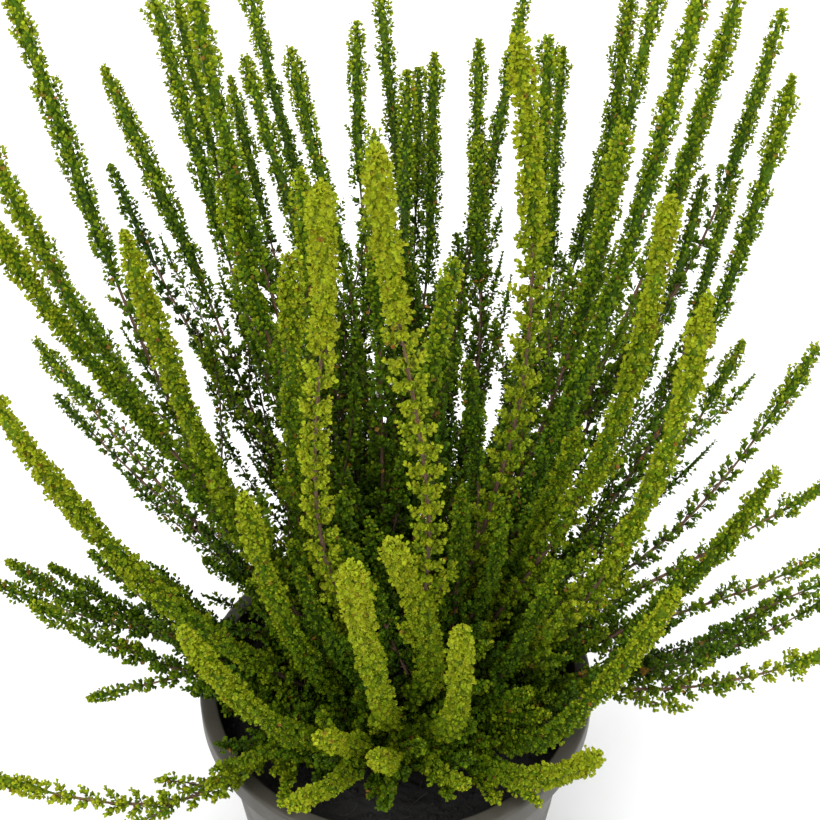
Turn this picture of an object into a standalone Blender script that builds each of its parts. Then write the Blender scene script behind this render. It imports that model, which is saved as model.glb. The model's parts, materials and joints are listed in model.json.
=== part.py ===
"""A potted heather: a plastic nursery pot, its soil, and the leafy stems that stand in it.

Metres, +Z up. The origin is the centre of the pot's flat base, and the pot stands on z = 0.
Azimuth 0 points along -Y, the front, and grows towards +X. Lean is measured from upright.
"""

import math
import random

import bmesh
import bpy
import numpy as np
from mathutils import Matrix

MM = 0.001
GAP = 0.3 * MM  # clear space between pieces that touch

# The pot
POT_HEIGHT = 115 * MM
RIM_RADIUS = 70 * MM
RIM_WIDTH = 6 * MM
RIM_DROP = 9 * MM
# Roundings of the lip, in mm in from its outer or inner face and down from its top
OUTER_LIP = [(0.0, 1.6), (0.9, 0.4), (2.6, 0.0)]
INNER_LIP = [(0.9, 0.2), (0.0, 1.2)]
BASE_RADIUS = 52.5 * MM
WALL = 1.4 * MM
FLOOR = 1.6 * MM
BASE_ROUND = 2 * MM
DRAIN_COUNT = 8
DRAIN_RADIUS = 4 * MM
DRAIN_CIRCLE = 40 * MM
DRAIN_SIDES = 8
TURNED_SIDES = 36
SHARP_ABOVE = 35  # degrees between faces that stay a hard edge

# The soil
SOIL_TOP = POT_HEIGHT - 12 * MM
SOIL_RELIEF = 0.6 * MM
SOIL_WAVES = ((310, -270), (520, -430))  # long and short waves per metre, along X and Y
SOIL_RINGS = 4
HOLE_DEPTH = 8 * MM
HOLE_RADIUS = 1.9 * MM
HOLE_SIDES = 6

# The stems
STEM_RADIUS = 1.3 * MM
STUB = 3 * MM  # straight length above the soil
CROWN_RADIUS = 34 * MM  # the lowest shoots leave the soil this far from the pot's axis
CROWN_POWER = 0.8  # how soon a leaning shoot leaves the soil away from the axis
ROOT_SPACING = 5.6 * MM
ROOT_ROUNDS = 200
ROOT_PUSH = 0.4
MOST_START_LEAN = 68.0
ARCH_POINTS = 65
SWAY_POWER = 0.8  # below one, a shoot sways most before its middle
JOINT_AHEAD = 4 * MM

# Bending the shoots clear of each other
RELAX_STEP = 6 * MM
RELAX_ROUNDS = 90
SAME_NEIGHBOURS = 6  # rounds before the neighbours are looked up again
STIFFNESS = 0.5
JOINT_REACH = 0.7  # share of a side shoot that follows when its joint moves
SPARE = 1.0 * MM  # clear space that the bending aims for between two leafy shoots
LEAST_ROOM = 2.2 * MM  # room round a bare stem, so that none crosses between two points
LOOK_AHEAD = 4 * MM
PINNED = 15 * MM  # a stem hardly bends over this length above the soil
RIM_CLEAR = 6 * MM
RIM_APPROACH = 28 * MM  # how far inside the rim a low shoot starts to rise over it

# The leaf tufts, raised from the stem's surface in opposite pairs, each pair turned a quarter
TUFT_SPACING = 14.8 * MM
FEWEST_TUFTS = 3
BARE_SPACING = 12 * MM
TUFT_SWEEP = 3.2 * MM  # how far a tuft's point reaches towards the tip
VALLEY_SHARE = 0.5  # the hollow between tufts, as a share of their reach
LEAST_VALLEY = 0.9  # and as a share of the stem's radius
RAGGED = 0.1  # share by which the tufts' reach varies
TURN_JITTER = 0.15  # radians
FOOT_RISE = 14 * MM  # the leaves reach their full girth over this length
FOOT_SHARE = 0.25
TIP_ROUND = 12 * MM
TIP_BLUNT = 2 * MM
TIP_LENGTH = 3 * MM
LENGTH_SHARE_BARE = 0.1
LEAST_BARE, MOST_BARE = 8 * MM, 26 * MM
CLEAR_STEP = 2.5 * MM
SEED = 11

# Girths of a leafy shoot, across its tufts
SLIM, MEDIUM, FULL, STOUT = 7 * MM, 9 * MM, 10 * MM, 11 * MM

# Each stem is its main shoot and then its side shoots. A shoot is its tip's azimuth and lean in
# degrees and its reach in mm, all seen from the middle of the soil's top, then its girth. Then
# come its sway, sideways in mm, its bow in degrees, and the share of its stem where it leaves.
STEMS = [
    # Tall shoots at the back on the left
    [(-130, 34, 285, MEDIUM, 12, 12), (-100, 47, 91, MEDIUM, 0, 8, 0.12)],
    [(-144, 44, 248, MEDIUM, -4, 0), (-145, 55, 225, SLIM, 8, 4, 0.4),
     (-140, 36, 80, SLIM, 0, 8, 0.12)],
    [(-109, 31, 250, MEDIUM, -6, 16)],
    [(-128, 64, 188, SLIM, 0, 20), (-129, 72, 175, SLIM, 0, 20, 0.2),
     (-118, 56, 95, SLIM, 0, 8, 0.14)],
    [(-151, 40, 268, MEDIUM, 4, 8), (-155, 43, 266, SLIM, 0, 14, 0.35),
     (-158, 30, 85, MEDIUM, 0, 8, 0.1)],
    [(-140, 20, 270, MEDIUM, -10, 16), (-141, 26, 200, MEDIUM, 0, 10, 0.2),
     (-133, 16, 90, MEDIUM, 0, 8, 0.14)],
    [(-162, 46, 240, MEDIUM, -12, 2), (-161, 51, 240, SLIM, 6, 16, 0.3),
     (-170, 40, 90, SLIM, 0, 8, 0.12)],
    [(-166, 55, 280, SLIM, -10, 2), (-158, 53, 215, MEDIUM, 0, 16, 0.2)],
    [(-168, 48, 243, MEDIUM, -12, 0), (-155, 20, 200, MEDIUM, 6, 18, 0.15),
     (180, 36, 85, SLIM, 0, 8, 0.12)],
    [(-179, 54, 275, SLIM, -16, 8), (-176, 47, 250, SLIM, 12, 16, 0.3)],
    [(178, 50, 235, SLIM, 0, 14), (-175, 46, 150, MEDIUM, 0, 12, 0.2),
     (172, 40, 90, SLIM, 0, 8, 0.14)],
    # The left side
    [(-83, 19, 230, MEDIUM, 0, 12), (-100, 31, 235, MEDIUM, -10, 20, 0.15),
     (-111, 30, 78, MEDIUM, 0, 8, 0.1)],
    [(-123, 11, 190, MEDIUM, 10, 14), (-141, 23, 150, MEDIUM, 0, 12, 0.2),
     (-76, 31, 61, SLIM, 0, 8, 0.06), (-66, 14, 68, SLIM, 0, 8, 0.08)],
    [(-67, 32, 225, FULL, 0, 16), (-96, 41, 77, MEDIUM, 0, 8, 0.06)],
    [(-95, 70, 152, SLIM, 0, 18), (-92, 62, 148, SLIM, 0, 16, 0.6), (-98, 66, 133, SLIM, 0, 16, 0.45),
     (-94, 54, 101, SLIM, 0, 8, 0.2)],
    [(-84, 61, 138, MEDIUM, 0, 34), (-81, 54, 58, SLIM, 0, 8, 0.1), (-73, 71, 60, SLIM, 0, 8, 0.14)],
    [(-85, 83, 110, SLIM, -4, 10), (-112, 76, 125, SLIM, 0, 14, 0.3)],
    [(-66, 75, 155, MEDIUM, 32, 24), (-44, 68, 95, SLIM, 0, 4, 0.2), (-33, 77, 72, SLIM, 0, 8, 0.12)],
    # The front
    [(-18, 12, 270, FULL, -16, 0), (-1, 18, 55, SLIM, 0, 8, 0.06)],
    [(-4, 11, 280, FULL, 12, 0), (-138, 9, 83, SLIM, 0, 8, 0.08)],
    [(73, 7, 280, FULL, 4, 17), (116, 15, 100, SLIM, 0, 8, 0.18), (137, 6, 74, SLIM, 0, 8, 0.08)],
    [(-61, 22, 140, FULL, 12, 22), (-80, 21, 95, MEDIUM, 0, 10, 0.2),
     (-48, 34, 56, MEDIUM, 0, 8, 0.06)],
    [(-42, 38, 150, FULL, 12, 26), (-41, 73, 67, SLIM, 0, 8, 0.08)],
    [(-7, 29, 200, STOUT, 4, 12), (-57, 20, 95, MEDIUM, 0, 10, 0.15), (-25, 38, 48, SLIM, 0, 8, 0.06)],
    [(-1, 23, 160, STOUT, 16, 4), (-58, 14, 100, MEDIUM, 0, 10, 0.2), (58, 33, 66, SLIM, 0, 8, 0.08)],
    [(13, 32, 155, STOUT, 6, 24), (31, 44, 50, SLIM, 0, 8, 0.06)],
    [(-17, 46, 110, FULL, 6, 10), (-19, 56, 117, FULL, 6, 16, 0.15)],
    [(-5, 49, 100, FULL, 0, 16), (19, 61, 80, MEDIUM, 0, 16, 0.15)],
    [(34, 52, 135, FULL, -4, 40), (30, 75, 70, SLIM, 0, 8, 0.16), (39, 77, 78, SLIM, 0, 8, 0.12)],
    [(62, 42, 145, FULL, -18, 34), (88, 52, 125, MEDIUM, -10, 26, 0.3),
     (55, 52, 68, MEDIUM, 0, 8, 0.12)],
    [(91, 48, 165, MEDIUM, -9, 36), (79, 54, 89, MEDIUM, 0, 8, 0.16)],
    [(67, 31, 110, MEDIUM, -12, 28), (47, 48, 80, MEDIUM, -8, 20, 0.2),
     (51, 61, 78, MEDIUM, 0, 8, 0.22)],
    [(77, 17, 120, MEDIUM, -6, 26), (74, 11, 115, SLIM, 0, 8, 0.3), (49, 49, 62, SLIM, 0, 8, 0.08),
     (57, 16, 66, SLIM, 0, 8, 0.14)],
    [(96, 25, 140, MEDIUM, 0, 14), (153, 25, 130, MEDIUM, -6, 20, 0.1),
     (78, 51, 73, MEDIUM, 0, 8, 0.06), (81, 39, 80, MEDIUM, 0, 8, 0.18)],
    # The right side
    [(72, 18, 250, MEDIUM, 14, 18), (89, 48, 100, SLIM, 0, 8, 0.16)],
    [(66, 23, 235, MEDIUM, 0, 24), (66, 30, 69, SLIM, 0, 8, 0.06)],
    [(128, 64, 185, SLIM, -14, 28), (138, 57, 228, SLIM, -6, 22, 0.3)],
    [(118, 61, 198, MEDIUM, -12, 34), (112, 54, 95, SLIM, 0, 8, 0.14)],
    [(104, 66, 183, SLIM, 0, 6)],
    [(101, 75, 172, SLIM, 0, 20), (92, 69, 171, SLIM, 0, 20, 0.25)],
    [(87, 77, 162, MEDIUM, -10, 24), (94, 74, 166, SLIM, -6, 20, 0.2), (73, 68, 79, SLIM, 0, 8, 0.14)],
    # Tall shoots at the back on the right
    [(175, 52, 245, MEDIUM, 0, 18), (177, 58, 250, SLIM, 0, 12, 0.35)],
    [(170, 51, 250, SLIM, -14, 28), (168, 49, 210, MEDIUM, -6, 20, 0.2)],
    [(166, 52, 275, SLIM, 8, 8), (171, 62, 185, SLIM, 0, 12, 0.2), (160, 38, 88, SLIM, 0, 8, 0.12)],
    [(159, 40, 242, MEDIUM, -16, 28)],
    [(161, 53, 255, SLIM, -16, 28), (153, 54, 238, MEDIUM, 0, 8, 0.25),
     (150, 46, 92, SLIM, 0, 8, 0.12)],
    [(133, 27, 222, MEDIUM, 3, 28)],
    [(153, 45, 273, MEDIUM, -16, 28), (149, 43, 272, SLIM, 0, 12, 0.45),
     (146, 34, 95, SLIM, 0, 8, 0.1)],
    [(130, 27, 274, FULL, -3, 14), (90, 40, 94, SLIM, 0, 8, 0.08)],
    [(135, 36, 275, MEDIUM, 0, 24), (137, 46, 280, SLIM, -12, 24, 0.35)],
    [(127, 40, 258, MEDIUM, -10, 34), (118, 36, 90, SLIM, 0, 8, 0.1)],
    [(142, 49, 250, SLIM, -6, 30), (141, 56, 225, SLIM, -12, 28, 0.3)],
    # The low back side
    [(-176, 24, 205, MEDIUM, 0, 12), (158, 18, 170, FULL, 0, 10, 0.2), (-150, 40, 150, FULL, 0, 10, 0.15)],
    [(-168, 66, 190, MEDIUM, 0, 18), (-152, 76, 180, SLIM, 6, 16, 0.25),
     (-160, 58, 95, SLIM, 0, 8, 0.14)],
    [(172, 62, 165, FULL, 0, 18), (156, 74, 175, SLIM, -6, 16, 0.25)],
    [(180, 80, 175, SLIM, 0, 18), (166, 86, 150, SLIM, 0, 14, 0.35), (172, 70, 90, SLIM, 0, 8, 0.14)],
]


def material(name, colour, roughness):
    """A plain Principled material."""
    made = bpy.data.materials.new(name)
    made.use_nodes = True
    shader = made.node_tree.nodes["Principled BSDF"]
    shader.inputs["Base Color"].default_value = (*colour, 1.0)
    shader.inputs["Roughness"].default_value = roughness
    shader.inputs["Metallic"].default_value = 0.0
    made.diffuse_color = (*colour, 1.0)
    return made


def add_object(name, bm, finish=None, smooth_below=None):
    """Turns a bmesh into a linked object."""
    mesh = bpy.data.meshes.new(name)
    bm.to_mesh(mesh)
    bm.free()
    made = bpy.data.objects.new(name, mesh)
    bpy.context.scene.collection.objects.link(made)
    if finish:
        mesh.materials.append(finish)
    if smooth_below:
        mesh.shade_smooth()
        mesh.set_sharp_from_angle(angle=math.radians(smooth_below))
    return made


def turned(profile):
    """A solid turned about Z from (radius, height) points that start and end on the axis."""
    bm = bmesh.new()
    corners = [bm.verts.new((radius, 0, height)) for radius, height in profile]
    edges = [bm.edges.new(pair) for pair in zip(corners, corners[1:])]
    bmesh.ops.spin(
        bm,
        geom=corners + edges,
        axis=(0, 0, 1),
        cent=(0, 0, 0),
        angle=math.tau,
        steps=TURNED_SIDES,
        use_merge=True,
    )
    bmesh.ops.remove_doubles(bm, verts=bm.verts, dist=1e-6)
    bmesh.ops.recalc_face_normals(bm, faces=bm.faces)
    return bm


def prisms(places, radius, bottom, top, sides):
    """Upright prisms in one mesh, one at each (x, y) of places."""
    bm = bmesh.new()
    for x, y in places:
        made = bmesh.ops.create_cone(
            bm, cap_ends=True, segments=sides, radius1=radius, radius2=radius, depth=top - bottom
        )
        bmesh.ops.translate(bm, verts=made["verts"], vec=(x, y, (top + bottom) / 2))
    return bm


def cut(target, cutter):
    """Cuts a hidden helper's shape out of the target."""
    cutter.hide_render = True
    cutter.display_type = "WIRE"
    modifier = target.modifiers.new("cut", "BOOLEAN")
    modifier.operation = "DIFFERENCE"
    modifier.object = cutter


def wall_radius(height):
    """Inner radius of the pot's tapered wall at this height."""
    top = RIM_RADIUS - RIM_WIDTH
    return BASE_RADIUS - WALL + (top - BASE_RADIUS + WALL) * height / POT_HEIGHT


def pot_profile():
    """The thin wall with its floor and its rolled rim, whose skirt hangs free of the wall."""
    lip, skirt = POT_HEIGHT - WALL, RIM_RADIUS - WALL
    mouth = RIM_RADIUS - RIM_WIDTH
    outer = [(RIM_RADIUS - MM * inset, POT_HEIGHT - MM * drop) for inset, drop in OUTER_LIP]
    inner = [(mouth + MM * inset, POT_HEIGHT - MM * drop) for inset, drop in INNER_LIP]
    return [
        (0, 0),
        (BASE_RADIUS - BASE_ROUND, 0),
        (BASE_RADIUS, BASE_ROUND),
        (wall_radius(lip) + WALL, lip),
        (skirt, lip - GAP),
        (skirt, POT_HEIGHT - RIM_DROP),
        (RIM_RADIUS, POT_HEIGHT - RIM_DROP),
        *outer,
        *inner,
        (wall_radius(FLOOR + BASE_ROUND), FLOOR + BASE_ROUND),
        (wall_radius(FLOOR) - BASE_ROUND, FLOOR),
        (0, FLOOR),
    ]


def make_pot(finish):
    pot = add_object("pot", turned(pot_profile()), finish, smooth_below=SHARP_ABOVE)
    turn = math.tau / DRAIN_COUNT
    places = [
        (DRAIN_CIRCLE * math.cos(turn * n), DRAIN_CIRCLE * math.sin(turn * n))
        for n in range(DRAIN_COUNT)
    ]
    drains = prisms(places, DRAIN_RADIUS, -2 * MM, FLOOR + MM, DRAIN_SIDES)
    cut(pot, add_object("drain_cutter", drains))


def soil_height(x, y):
    """The uneven top of the soil, level at the wall."""
    (long_x, long_y), (short_x, short_y) = SOIL_WAVES
    waves = np.sin(long_x * x) * np.cos(long_y * y) + 0.5 * np.sin(short_x * x + short_y * y)
    fade = np.sqrt(np.clip(1 - np.hypot(x, y) / wall_radius(SOIL_TOP), 0, 1))
    return SOIL_TOP + SOIL_RELIEF * waves * fade


def make_soil(finish, roots):
    """A plug that fills the pot, with a plain hole for each stem."""
    edge = wall_radius(SOIL_TOP) - GAP
    low = FLOOR + GAP
    profile = [
        (0, low),
        (wall_radius(FLOOR) - BASE_ROUND - GAP, low),
        (wall_radius(low + BASE_ROUND) - GAP, low + BASE_ROUND),
        (edge, SOIL_TOP),
    ]
    profile += [(edge * (1 - ring / SOIL_RINGS), SOIL_TOP) for ring in range(1, SOIL_RINGS + 1)]
    bm = turned(profile)
    for corner in bm.verts:
        if corner.co.z > SOIL_TOP - MM:
            corner.co.z = float(soil_height(corner.co.x, corner.co.y))
    soil = add_object("soil", bm, finish, smooth_below=SHARP_ABOVE)
    holes = prisms(roots, HOLE_RADIUS, SOIL_TOP - HOLE_DEPTH, SOIL_TOP + HOLE_DEPTH, HOLE_SIDES)
    cut(soil, add_object("stem_hole_cutter", holes))


def direction(azimuth, lean):
    """Unit vector for an azimuth and a lean in degrees."""
    turn, tilt = math.radians(azimuth), math.radians(lean)
    level = math.sin(tilt)
    return np.array([level * math.sin(turn), -level * math.cos(turn), math.cos(tilt)])


def arch(start, leaving, end, arriving, sideways):
    """A smooth curve between two points with these end directions, swayed sideways."""
    t = np.linspace(0, 1, ARCH_POINTS)[:, None]
    span = np.linalg.norm(end - start)
    curve = (2 * t**3 - 3 * t**2 + 1) * start + (3 * t**2 - 2 * t**3) * end
    curve += span * ((t**3 - 2 * t**2 + t) * leaving + (t**3 - t**2) * arriving)
    return curve + np.sin(math.pi * t**SWAY_POWER) ** 2 * sideways


def lengths_along(path):
    """Distance of each point from the path's first point, measured along the path."""
    steps = np.linalg.norm(np.diff(path, axis=0), axis=1)
    return np.concatenate([[0], np.cumsum(steps)])


def points_at(path, along):
    """Points of the path at these distances from its start."""
    measured = lengths_along(path)
    return np.stack([np.interp(along, measured, path[:, axis]) for axis in range(3)], axis=1)


def evenly(path, step):
    """The path with its points spaced about one step apart."""
    length = lengths_along(path)[-1]
    return points_at(path, np.linspace(0, length, max(5, round(length / step) + 1)))


def smoothstep(value):
    value = np.clip(value, 0, 1)
    return value * value * (3 - 2 * value)


def spread_roots():
    """Where each stem leaves the soil: outwards with its lean, then pushed apart to the spacing."""
    roots = []
    for azimuth, lean, *_ in (stem[0] for stem in STEMS):
        out = CROWN_RADIUS * (lean / 90) ** CROWN_POWER
        roots.append(out * direction(azimuth, 90)[:2])
    roots = np.array(roots)
    for _ in range(ROOT_ROUNDS):
        apart = roots[:, None] - roots[None]
        distance = np.linalg.norm(apart, axis=2) + np.eye(len(roots))
        short = np.clip(ROOT_SPACING - distance, 0, None) * (1 - np.eye(len(roots)))
        roots += ROOT_PUSH * (short[:, :, None] * apart / distance[:, :, None]).sum(axis=1)
    return roots


class Shoot:
    """One leafy shoot: its centreline, the stem it belongs to and, for a side shoot, where it leaves."""

    def __init__(self, stem, row, root=None, parent=None):
        azimuth, lean, reach, self.girth, sway, bow, *leaves = row
        self.stem = stem
        self.parent = parent
        self.leaves = leaves[0] if leaves else 0.0
        crown = np.array([0, 0, SOIL_TOP])
        tip = crown + reach * MM * direction(azimuth, lean)
        sideways = sway * MM * direction(azimuth + 90, 90)
        if parent is None:
            start = np.array([*root, SOIL_TOP + STUB])
            leaving = direction(azimuth, min(lean + bow, MOST_START_LEAN))
        else:
            joint = self.joint(parent.path)
            start, ahead = points_at(parent.path, np.array([joint, joint + JOINT_AHEAD]))
            leaving = ahead - start
            leaving = leaving / np.linalg.norm(leaving) + (tip - start) / np.linalg.norm(tip - start)
            leaving /= np.linalg.norm(leaving)
        arriving = direction(azimuth, lean - bow)
        self.path = evenly(arch(start, leaving, tip, arriving, sideways), RELAX_STEP)

    def joint(self, parent_path):
        """How far along its stem the side shoot leaves."""
        return self.leaves * lengths_along(parent_path)[-1]

    def bare(self):
        """Length without leaves at the foot of the shoot."""
        length = lengths_along(self.path)[-1]
        least = 0.0 if self.parent else LEAST_BARE
        return max(least, min(MOST_BARE, LENGTH_SHARE_BARE * length))

    def leafy_radius(self, along):
        """Reach of the leaves from the centreline, at these distances from the shoot's foot."""
        length = lengths_along(self.path)[-1]
        rise = FOOT_SHARE + (1 - FOOT_SHARE) * smoothstep((along - self.bare()) / FOOT_RISE)
        blunt = np.sqrt(np.clip((length - along + TIP_BLUNT) / TIP_ROUND, 0, 1))
        return np.maximum(STEM_RADIUS, 0.5 * self.girth * np.minimum(blunt, rise))


def grow_shoots(roots):
    """Every shoot of every stem, the main shoots before their side shoots."""
    shoots = []
    for stem, (rows, root) in enumerate(zip(STEMS, roots)):
        main = Shoot(stem, rows[0], root=root)
        shoots.append(main)
        shoots += [Shoot(stem, row, parent=main) for row in rows[1:]]
    return shoots


class Crowd:
    """All the shoots' points together, with what each needs to keep clear of the others."""

    def __init__(self, shoots):
        self.shoots = shoots
        self.points = np.concatenate([shoot.path for shoot in shoots])
        along = [lengths_along(shoot.path) for shoot in shoots]
        radius = np.concatenate([s.leafy_radius(at) for s, at in zip(shoots, along)])
        self.radius = np.maximum(radius, LEAST_ROOM)
        self.stem = np.concatenate([np.full(len(s.path), s.stem) for s in shoots])
        ends = np.cumsum([len(shoot.path) for shoot in shoots])
        self.parts = [slice(end - len(s.path), end) for s, end in zip(shoots, ends)]
        self.free = smoothstep(np.concatenate(along) / PINNED)

    def find_neighbours(self):
        """Pairs of points of different stems that are close, or soon could be."""
        square = (self.points**2).sum(axis=1)
        distance = square[:, None] + square[None] - 2 * self.points @ self.points.T
        within = self.radius[:, None] + self.radius[None] + SPARE + LOOK_AHEAD
        near = (distance < within**2) & (self.stem[:, None] < self.stem[None])
        self.one, self.other = np.nonzero(near)

    def push(self):
        """How far each point has to move for its leaves to clear those of the other stems."""
        apart = self.points[self.one] - self.points[self.other]
        far = np.maximum(np.linalg.norm(apart, axis=1), 0.01 * MM)
        short = np.clip(self.radius[self.one] + self.radius[self.other] + SPARE - far, 0, None)
        half = (0.5 * short / far)[:, None] * apart
        moved = np.zeros_like(self.points)
        np.add.at(moved, self.one, half)
        np.add.at(moved, self.other, -half)
        touched = (short > 0).astype(float)
        hits = np.bincount(self.one, touched, len(moved)) + np.bincount(self.other, touched, len(moved))
        return moved / np.sqrt(np.maximum(hits, 1))[:, None]


def lift_clear(points, radius):
    """Lifts points that would touch the soil or the pot's rim."""
    out = np.hypot(points[:, 0], points[:, 1])
    nearing = smoothstep((out - RIM_RADIUS + RIM_APPROACH) / (RIM_APPROACH - RIM_WIDTH))
    over_rim = np.where(out < RIM_RADIUS + RIM_CLEAR, nearing, 0)
    floor = SOIL_TOP + STUB + 0.5 * radius
    lowest = floor + (POT_HEIGHT + RIM_CLEAR - floor) * over_rim
    lifted = points.copy()
    lifted[:, 2] = np.maximum(points[:, 2], lowest)
    return lifted


def smooth_along(values, count):
    """Evens out values along one shoot, keeping its ends."""
    for _ in range(count):
        inner = 0.25 * values[:-2] + 0.5 * values[1:-1] + 0.25 * values[2:]
        values = np.concatenate([values[:1], inner, values[-1:]])
    return values


def bend_clear(shoots):
    """Bends the shoots apart, so that none crosses another stem's, the soil or the rim."""
    crowd = Crowd(shoots)
    for turn in range(RELAX_ROUNDS):
        if turn % SAME_NEIGHBOURS == 0:
            crowd.find_neighbours()
        push = crowd.push()
        for shoot, part in zip(shoots, crowd.parts):
            free = crowd.free[part][:, None]
            moved = shoot.path + smooth_along(push[part], 3) * free
            lifted = lift_clear(moved, crowd.radius[part])
            moved += smooth_along(lifted - moved, 2)
            moved += STIFFNESS * free * (smooth_along(moved, 1) - moved)
            if shoot.parent:
                foot = points_at(shoot.parent.path, [shoot.joint(shoot.parent.path)])[0]
                along = lengths_along(moved)
                share = along / (JOINT_REACH * along[-1])
                moved += (foot - moved[0]) * (1 - smoothstep(share))[:, None]
            shoot.path = moved
            crowd.points[part] = moved


def pot_distance(points):
    """Distance from points above the soil to the pot's wall and rim."""
    out = np.hypot(points[:, 0], points[:, 1])
    across = np.maximum(RIM_RADIUS - RIM_WIDTH - out, out - RIM_RADIUS)
    over = points[:, 2] - POT_HEIGHT
    return np.hypot(np.maximum(across, 0), np.maximum(over, 0))


def measure_clearance(shoots):
    """Gives each shoot the reach that its leaves may have, along its length, clear of all else."""
    paths = [evenly(shoot.path, CLEAR_STEP) for shoot in shoots]
    everything = np.concatenate(paths)
    stem = np.concatenate([np.full(len(path), s.stem) for path, s in zip(paths, shoots)])
    for shoot, path in zip(shoots, paths):
        others = everything[stem != shoot.stem]
        square = (path**2).sum(axis=1)[:, None] + (others**2).sum(axis=1) - 2 * path @ others.T
        nearest = np.sqrt(np.maximum(square.min(axis=1) - CLEAR_STEP**2 / 2, 0))
        room = np.minimum(nearest / 2, pot_distance(path)) - 2 * GAP
        soil_room = path[:, 2] - SOIL_TOP - 2 * SOIL_RELIEF
        shoot.clear_along = lengths_along(path)
        shoot.clear_room = np.minimum(room, soil_room)


def ring_places(shoot):
    """Distances of the rings along the shoot, and which of them carry tufts."""
    length, bare = lengths_along(shoot.path)[-1], shoot.bare()
    foot = np.linspace(0, bare, max(2, round(bare / BARE_SPACING) + 1))[:-1]
    leafy = length - TIP_LENGTH - bare
    tufts = bare + np.linspace(0, leafy, max(FEWEST_TUFTS, round(leafy / TUFT_SPACING) + 1))
    return np.concatenate([foot, tufts]), len(foot)


def quarter_turn_frames(centres, ways, start_angle):
    """Two sideways directions at each ring, carried along the path without twisting."""
    side = np.cross(ways[0], [math.cos(start_angle), math.sin(start_angle), 0.3])
    frames = []
    for way in ways:
        side = side - way * (side @ way)
        side /= np.linalg.norm(side)
        frames.append((side, np.cross(way, side)))
    return frames


def leafy_body(shoot, chance):
    """The closed body of one shoot: a slim stem that opposite tufts of leaves stand out of."""
    places, first_tuft = ring_places(shoot)
    length = lengths_along(shoot.path)[-1]
    centres = points_at(shoot.path, places)
    ahead = points_at(shoot.path, np.minimum(places + MM, length))
    behind = points_at(shoot.path, np.maximum(places - MM, 0))
    ways = (ahead - behind) / np.linalg.norm(ahead - behind, axis=1)[:, None]
    reach = shoot.leafy_radius(places)
    if shoot.parent is None:
        ways[0] = (0, 0, 1)
        sunk = centres[0] - [0, 0, STUB + HOLE_DEPTH - GAP]
        centres, ways = np.vstack([sunk, centres]), np.vstack([ways[0], ways])
        places, reach = np.concatenate([[0], places]), np.concatenate([[0], reach])
        first_tuft += 1
    frames = quarter_turn_frames(centres, ways, chance.uniform(0, math.tau))
    bm = bmesh.new()
    rings = []
    for n, (centre, way, (side, across)) in enumerate(zip(centres, ways, frames)):
        beside = np.abs(shoot.clear_along - places[n]) < TUFT_SPACING + TUFT_SWEEP
        room = shoot.clear_room[beside].min()
        out = max(STEM_RADIUS, min(reach[n], room)) if n >= first_tuft else STEM_RADIUS
        valley = max(LEAST_VALLEY * STEM_RADIUS, VALLEY_SHARE * out)
        ring = []
        for corner in range(4):
            raised = (corner + n) % 2 == 0 and n >= first_tuft
            radius = out * chance.uniform(1 - RAGGED, 1) if raised else min(out, valley)
            jitter = chance.uniform(-TURN_JITTER, TURN_JITTER) if n >= first_tuft else 0
            angle = math.tau / 4 * corner + jitter
            point = centre + radius * (math.cos(angle) * side + math.sin(angle) * across)
            if raised:
                point = point + way * TUFT_SWEEP * (out - STEM_RADIUS) / out
            ring.append(bm.verts.new(point))
        rings.append(ring)
    bm.faces.new(rings[0])
    for n, (low, high) in enumerate(zip(rings, rings[1:])):
        for corner in range(4):
            after = (corner + 1) % 4
            a, b, c, d = low[corner], low[after], high[after], high[corner]
            # The crease runs between the two corners that aren't raised
            if (corner + n) % 2:
                bm.faces.new((a, b, c))
                bm.faces.new((a, c, d))
            else:
                bm.faces.new((b, c, d))
                bm.faces.new((b, d, a))
    tip = bm.verts.new(shoot.path[-1])
    for corner in range(4):
        bm.faces.new((rings[-1][corner], rings[-1][(corner + 1) % 4], tip))
    bmesh.ops.recalc_face_normals(bm, faces=bm.faces)
    return bm


def join_all(body, others):
    """Unites an object with others in one Boolean, then removes them."""
    helpers = bpy.data.collections.new("joined")
    bpy.context.scene.collection.children.link(helpers)
    for other in others:
        bpy.context.scene.collection.objects.unlink(other)
        helpers.objects.link(other)
    union = body.modifiers.new("union", "BOOLEAN")
    union.operation = "UNION"
    union.operand_type = "COLLECTION"
    union.collection = helpers
    union.solver = "MANIFOLD"
    bpy.context.view_layer.objects.active = body
    bpy.ops.object.modifier_apply(modifier=union.name)
    for other in others:
        bpy.data.objects.remove(other)
    bpy.data.collections.remove(helpers)


def make_leafy_stem(number, shoots, finish, chance):
    """One node: a main shoot with its side shoots fused to it, standing in its hole."""
    name = f"leafy_stem_{number:02d}"
    bodies = [add_object(name, leafy_body(shoot, chance), finish) for shoot in shoots]
    stem, others = bodies[0], bodies[1:]
    if others:
        join_all(stem, others)
    foot = shoots[0].path[0]
    stem.data.transform(Matrix.Translation([-value for value in foot]))
    stem.location = foot


def main():
    for old in list(bpy.data.objects):
        bpy.data.objects.remove(old)
    plastic = material("taupe_plastic", (0.085, 0.078, 0.068), 0.45)
    peat = material("moist_peat", (0.016, 0.012, 0.010), 0.9)
    leaves = material("heather_leaves", (0.10, 0.19, 0.02), 0.6)
    roots = spread_roots()
    make_pot(plastic)
    make_soil(peat, roots)
    shoots = grow_shoots(roots)
    bend_clear(shoots)
    measure_clearance(shoots)
    chance = random.Random(SEED)
    for stem in range(len(STEMS)):
        mine = [shoot for shoot in shoots if shoot.stem == stem]
        make_leafy_stem(stem + 1, mine, leaves, chance)


if __name__ == "__main__":
    main()
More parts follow.
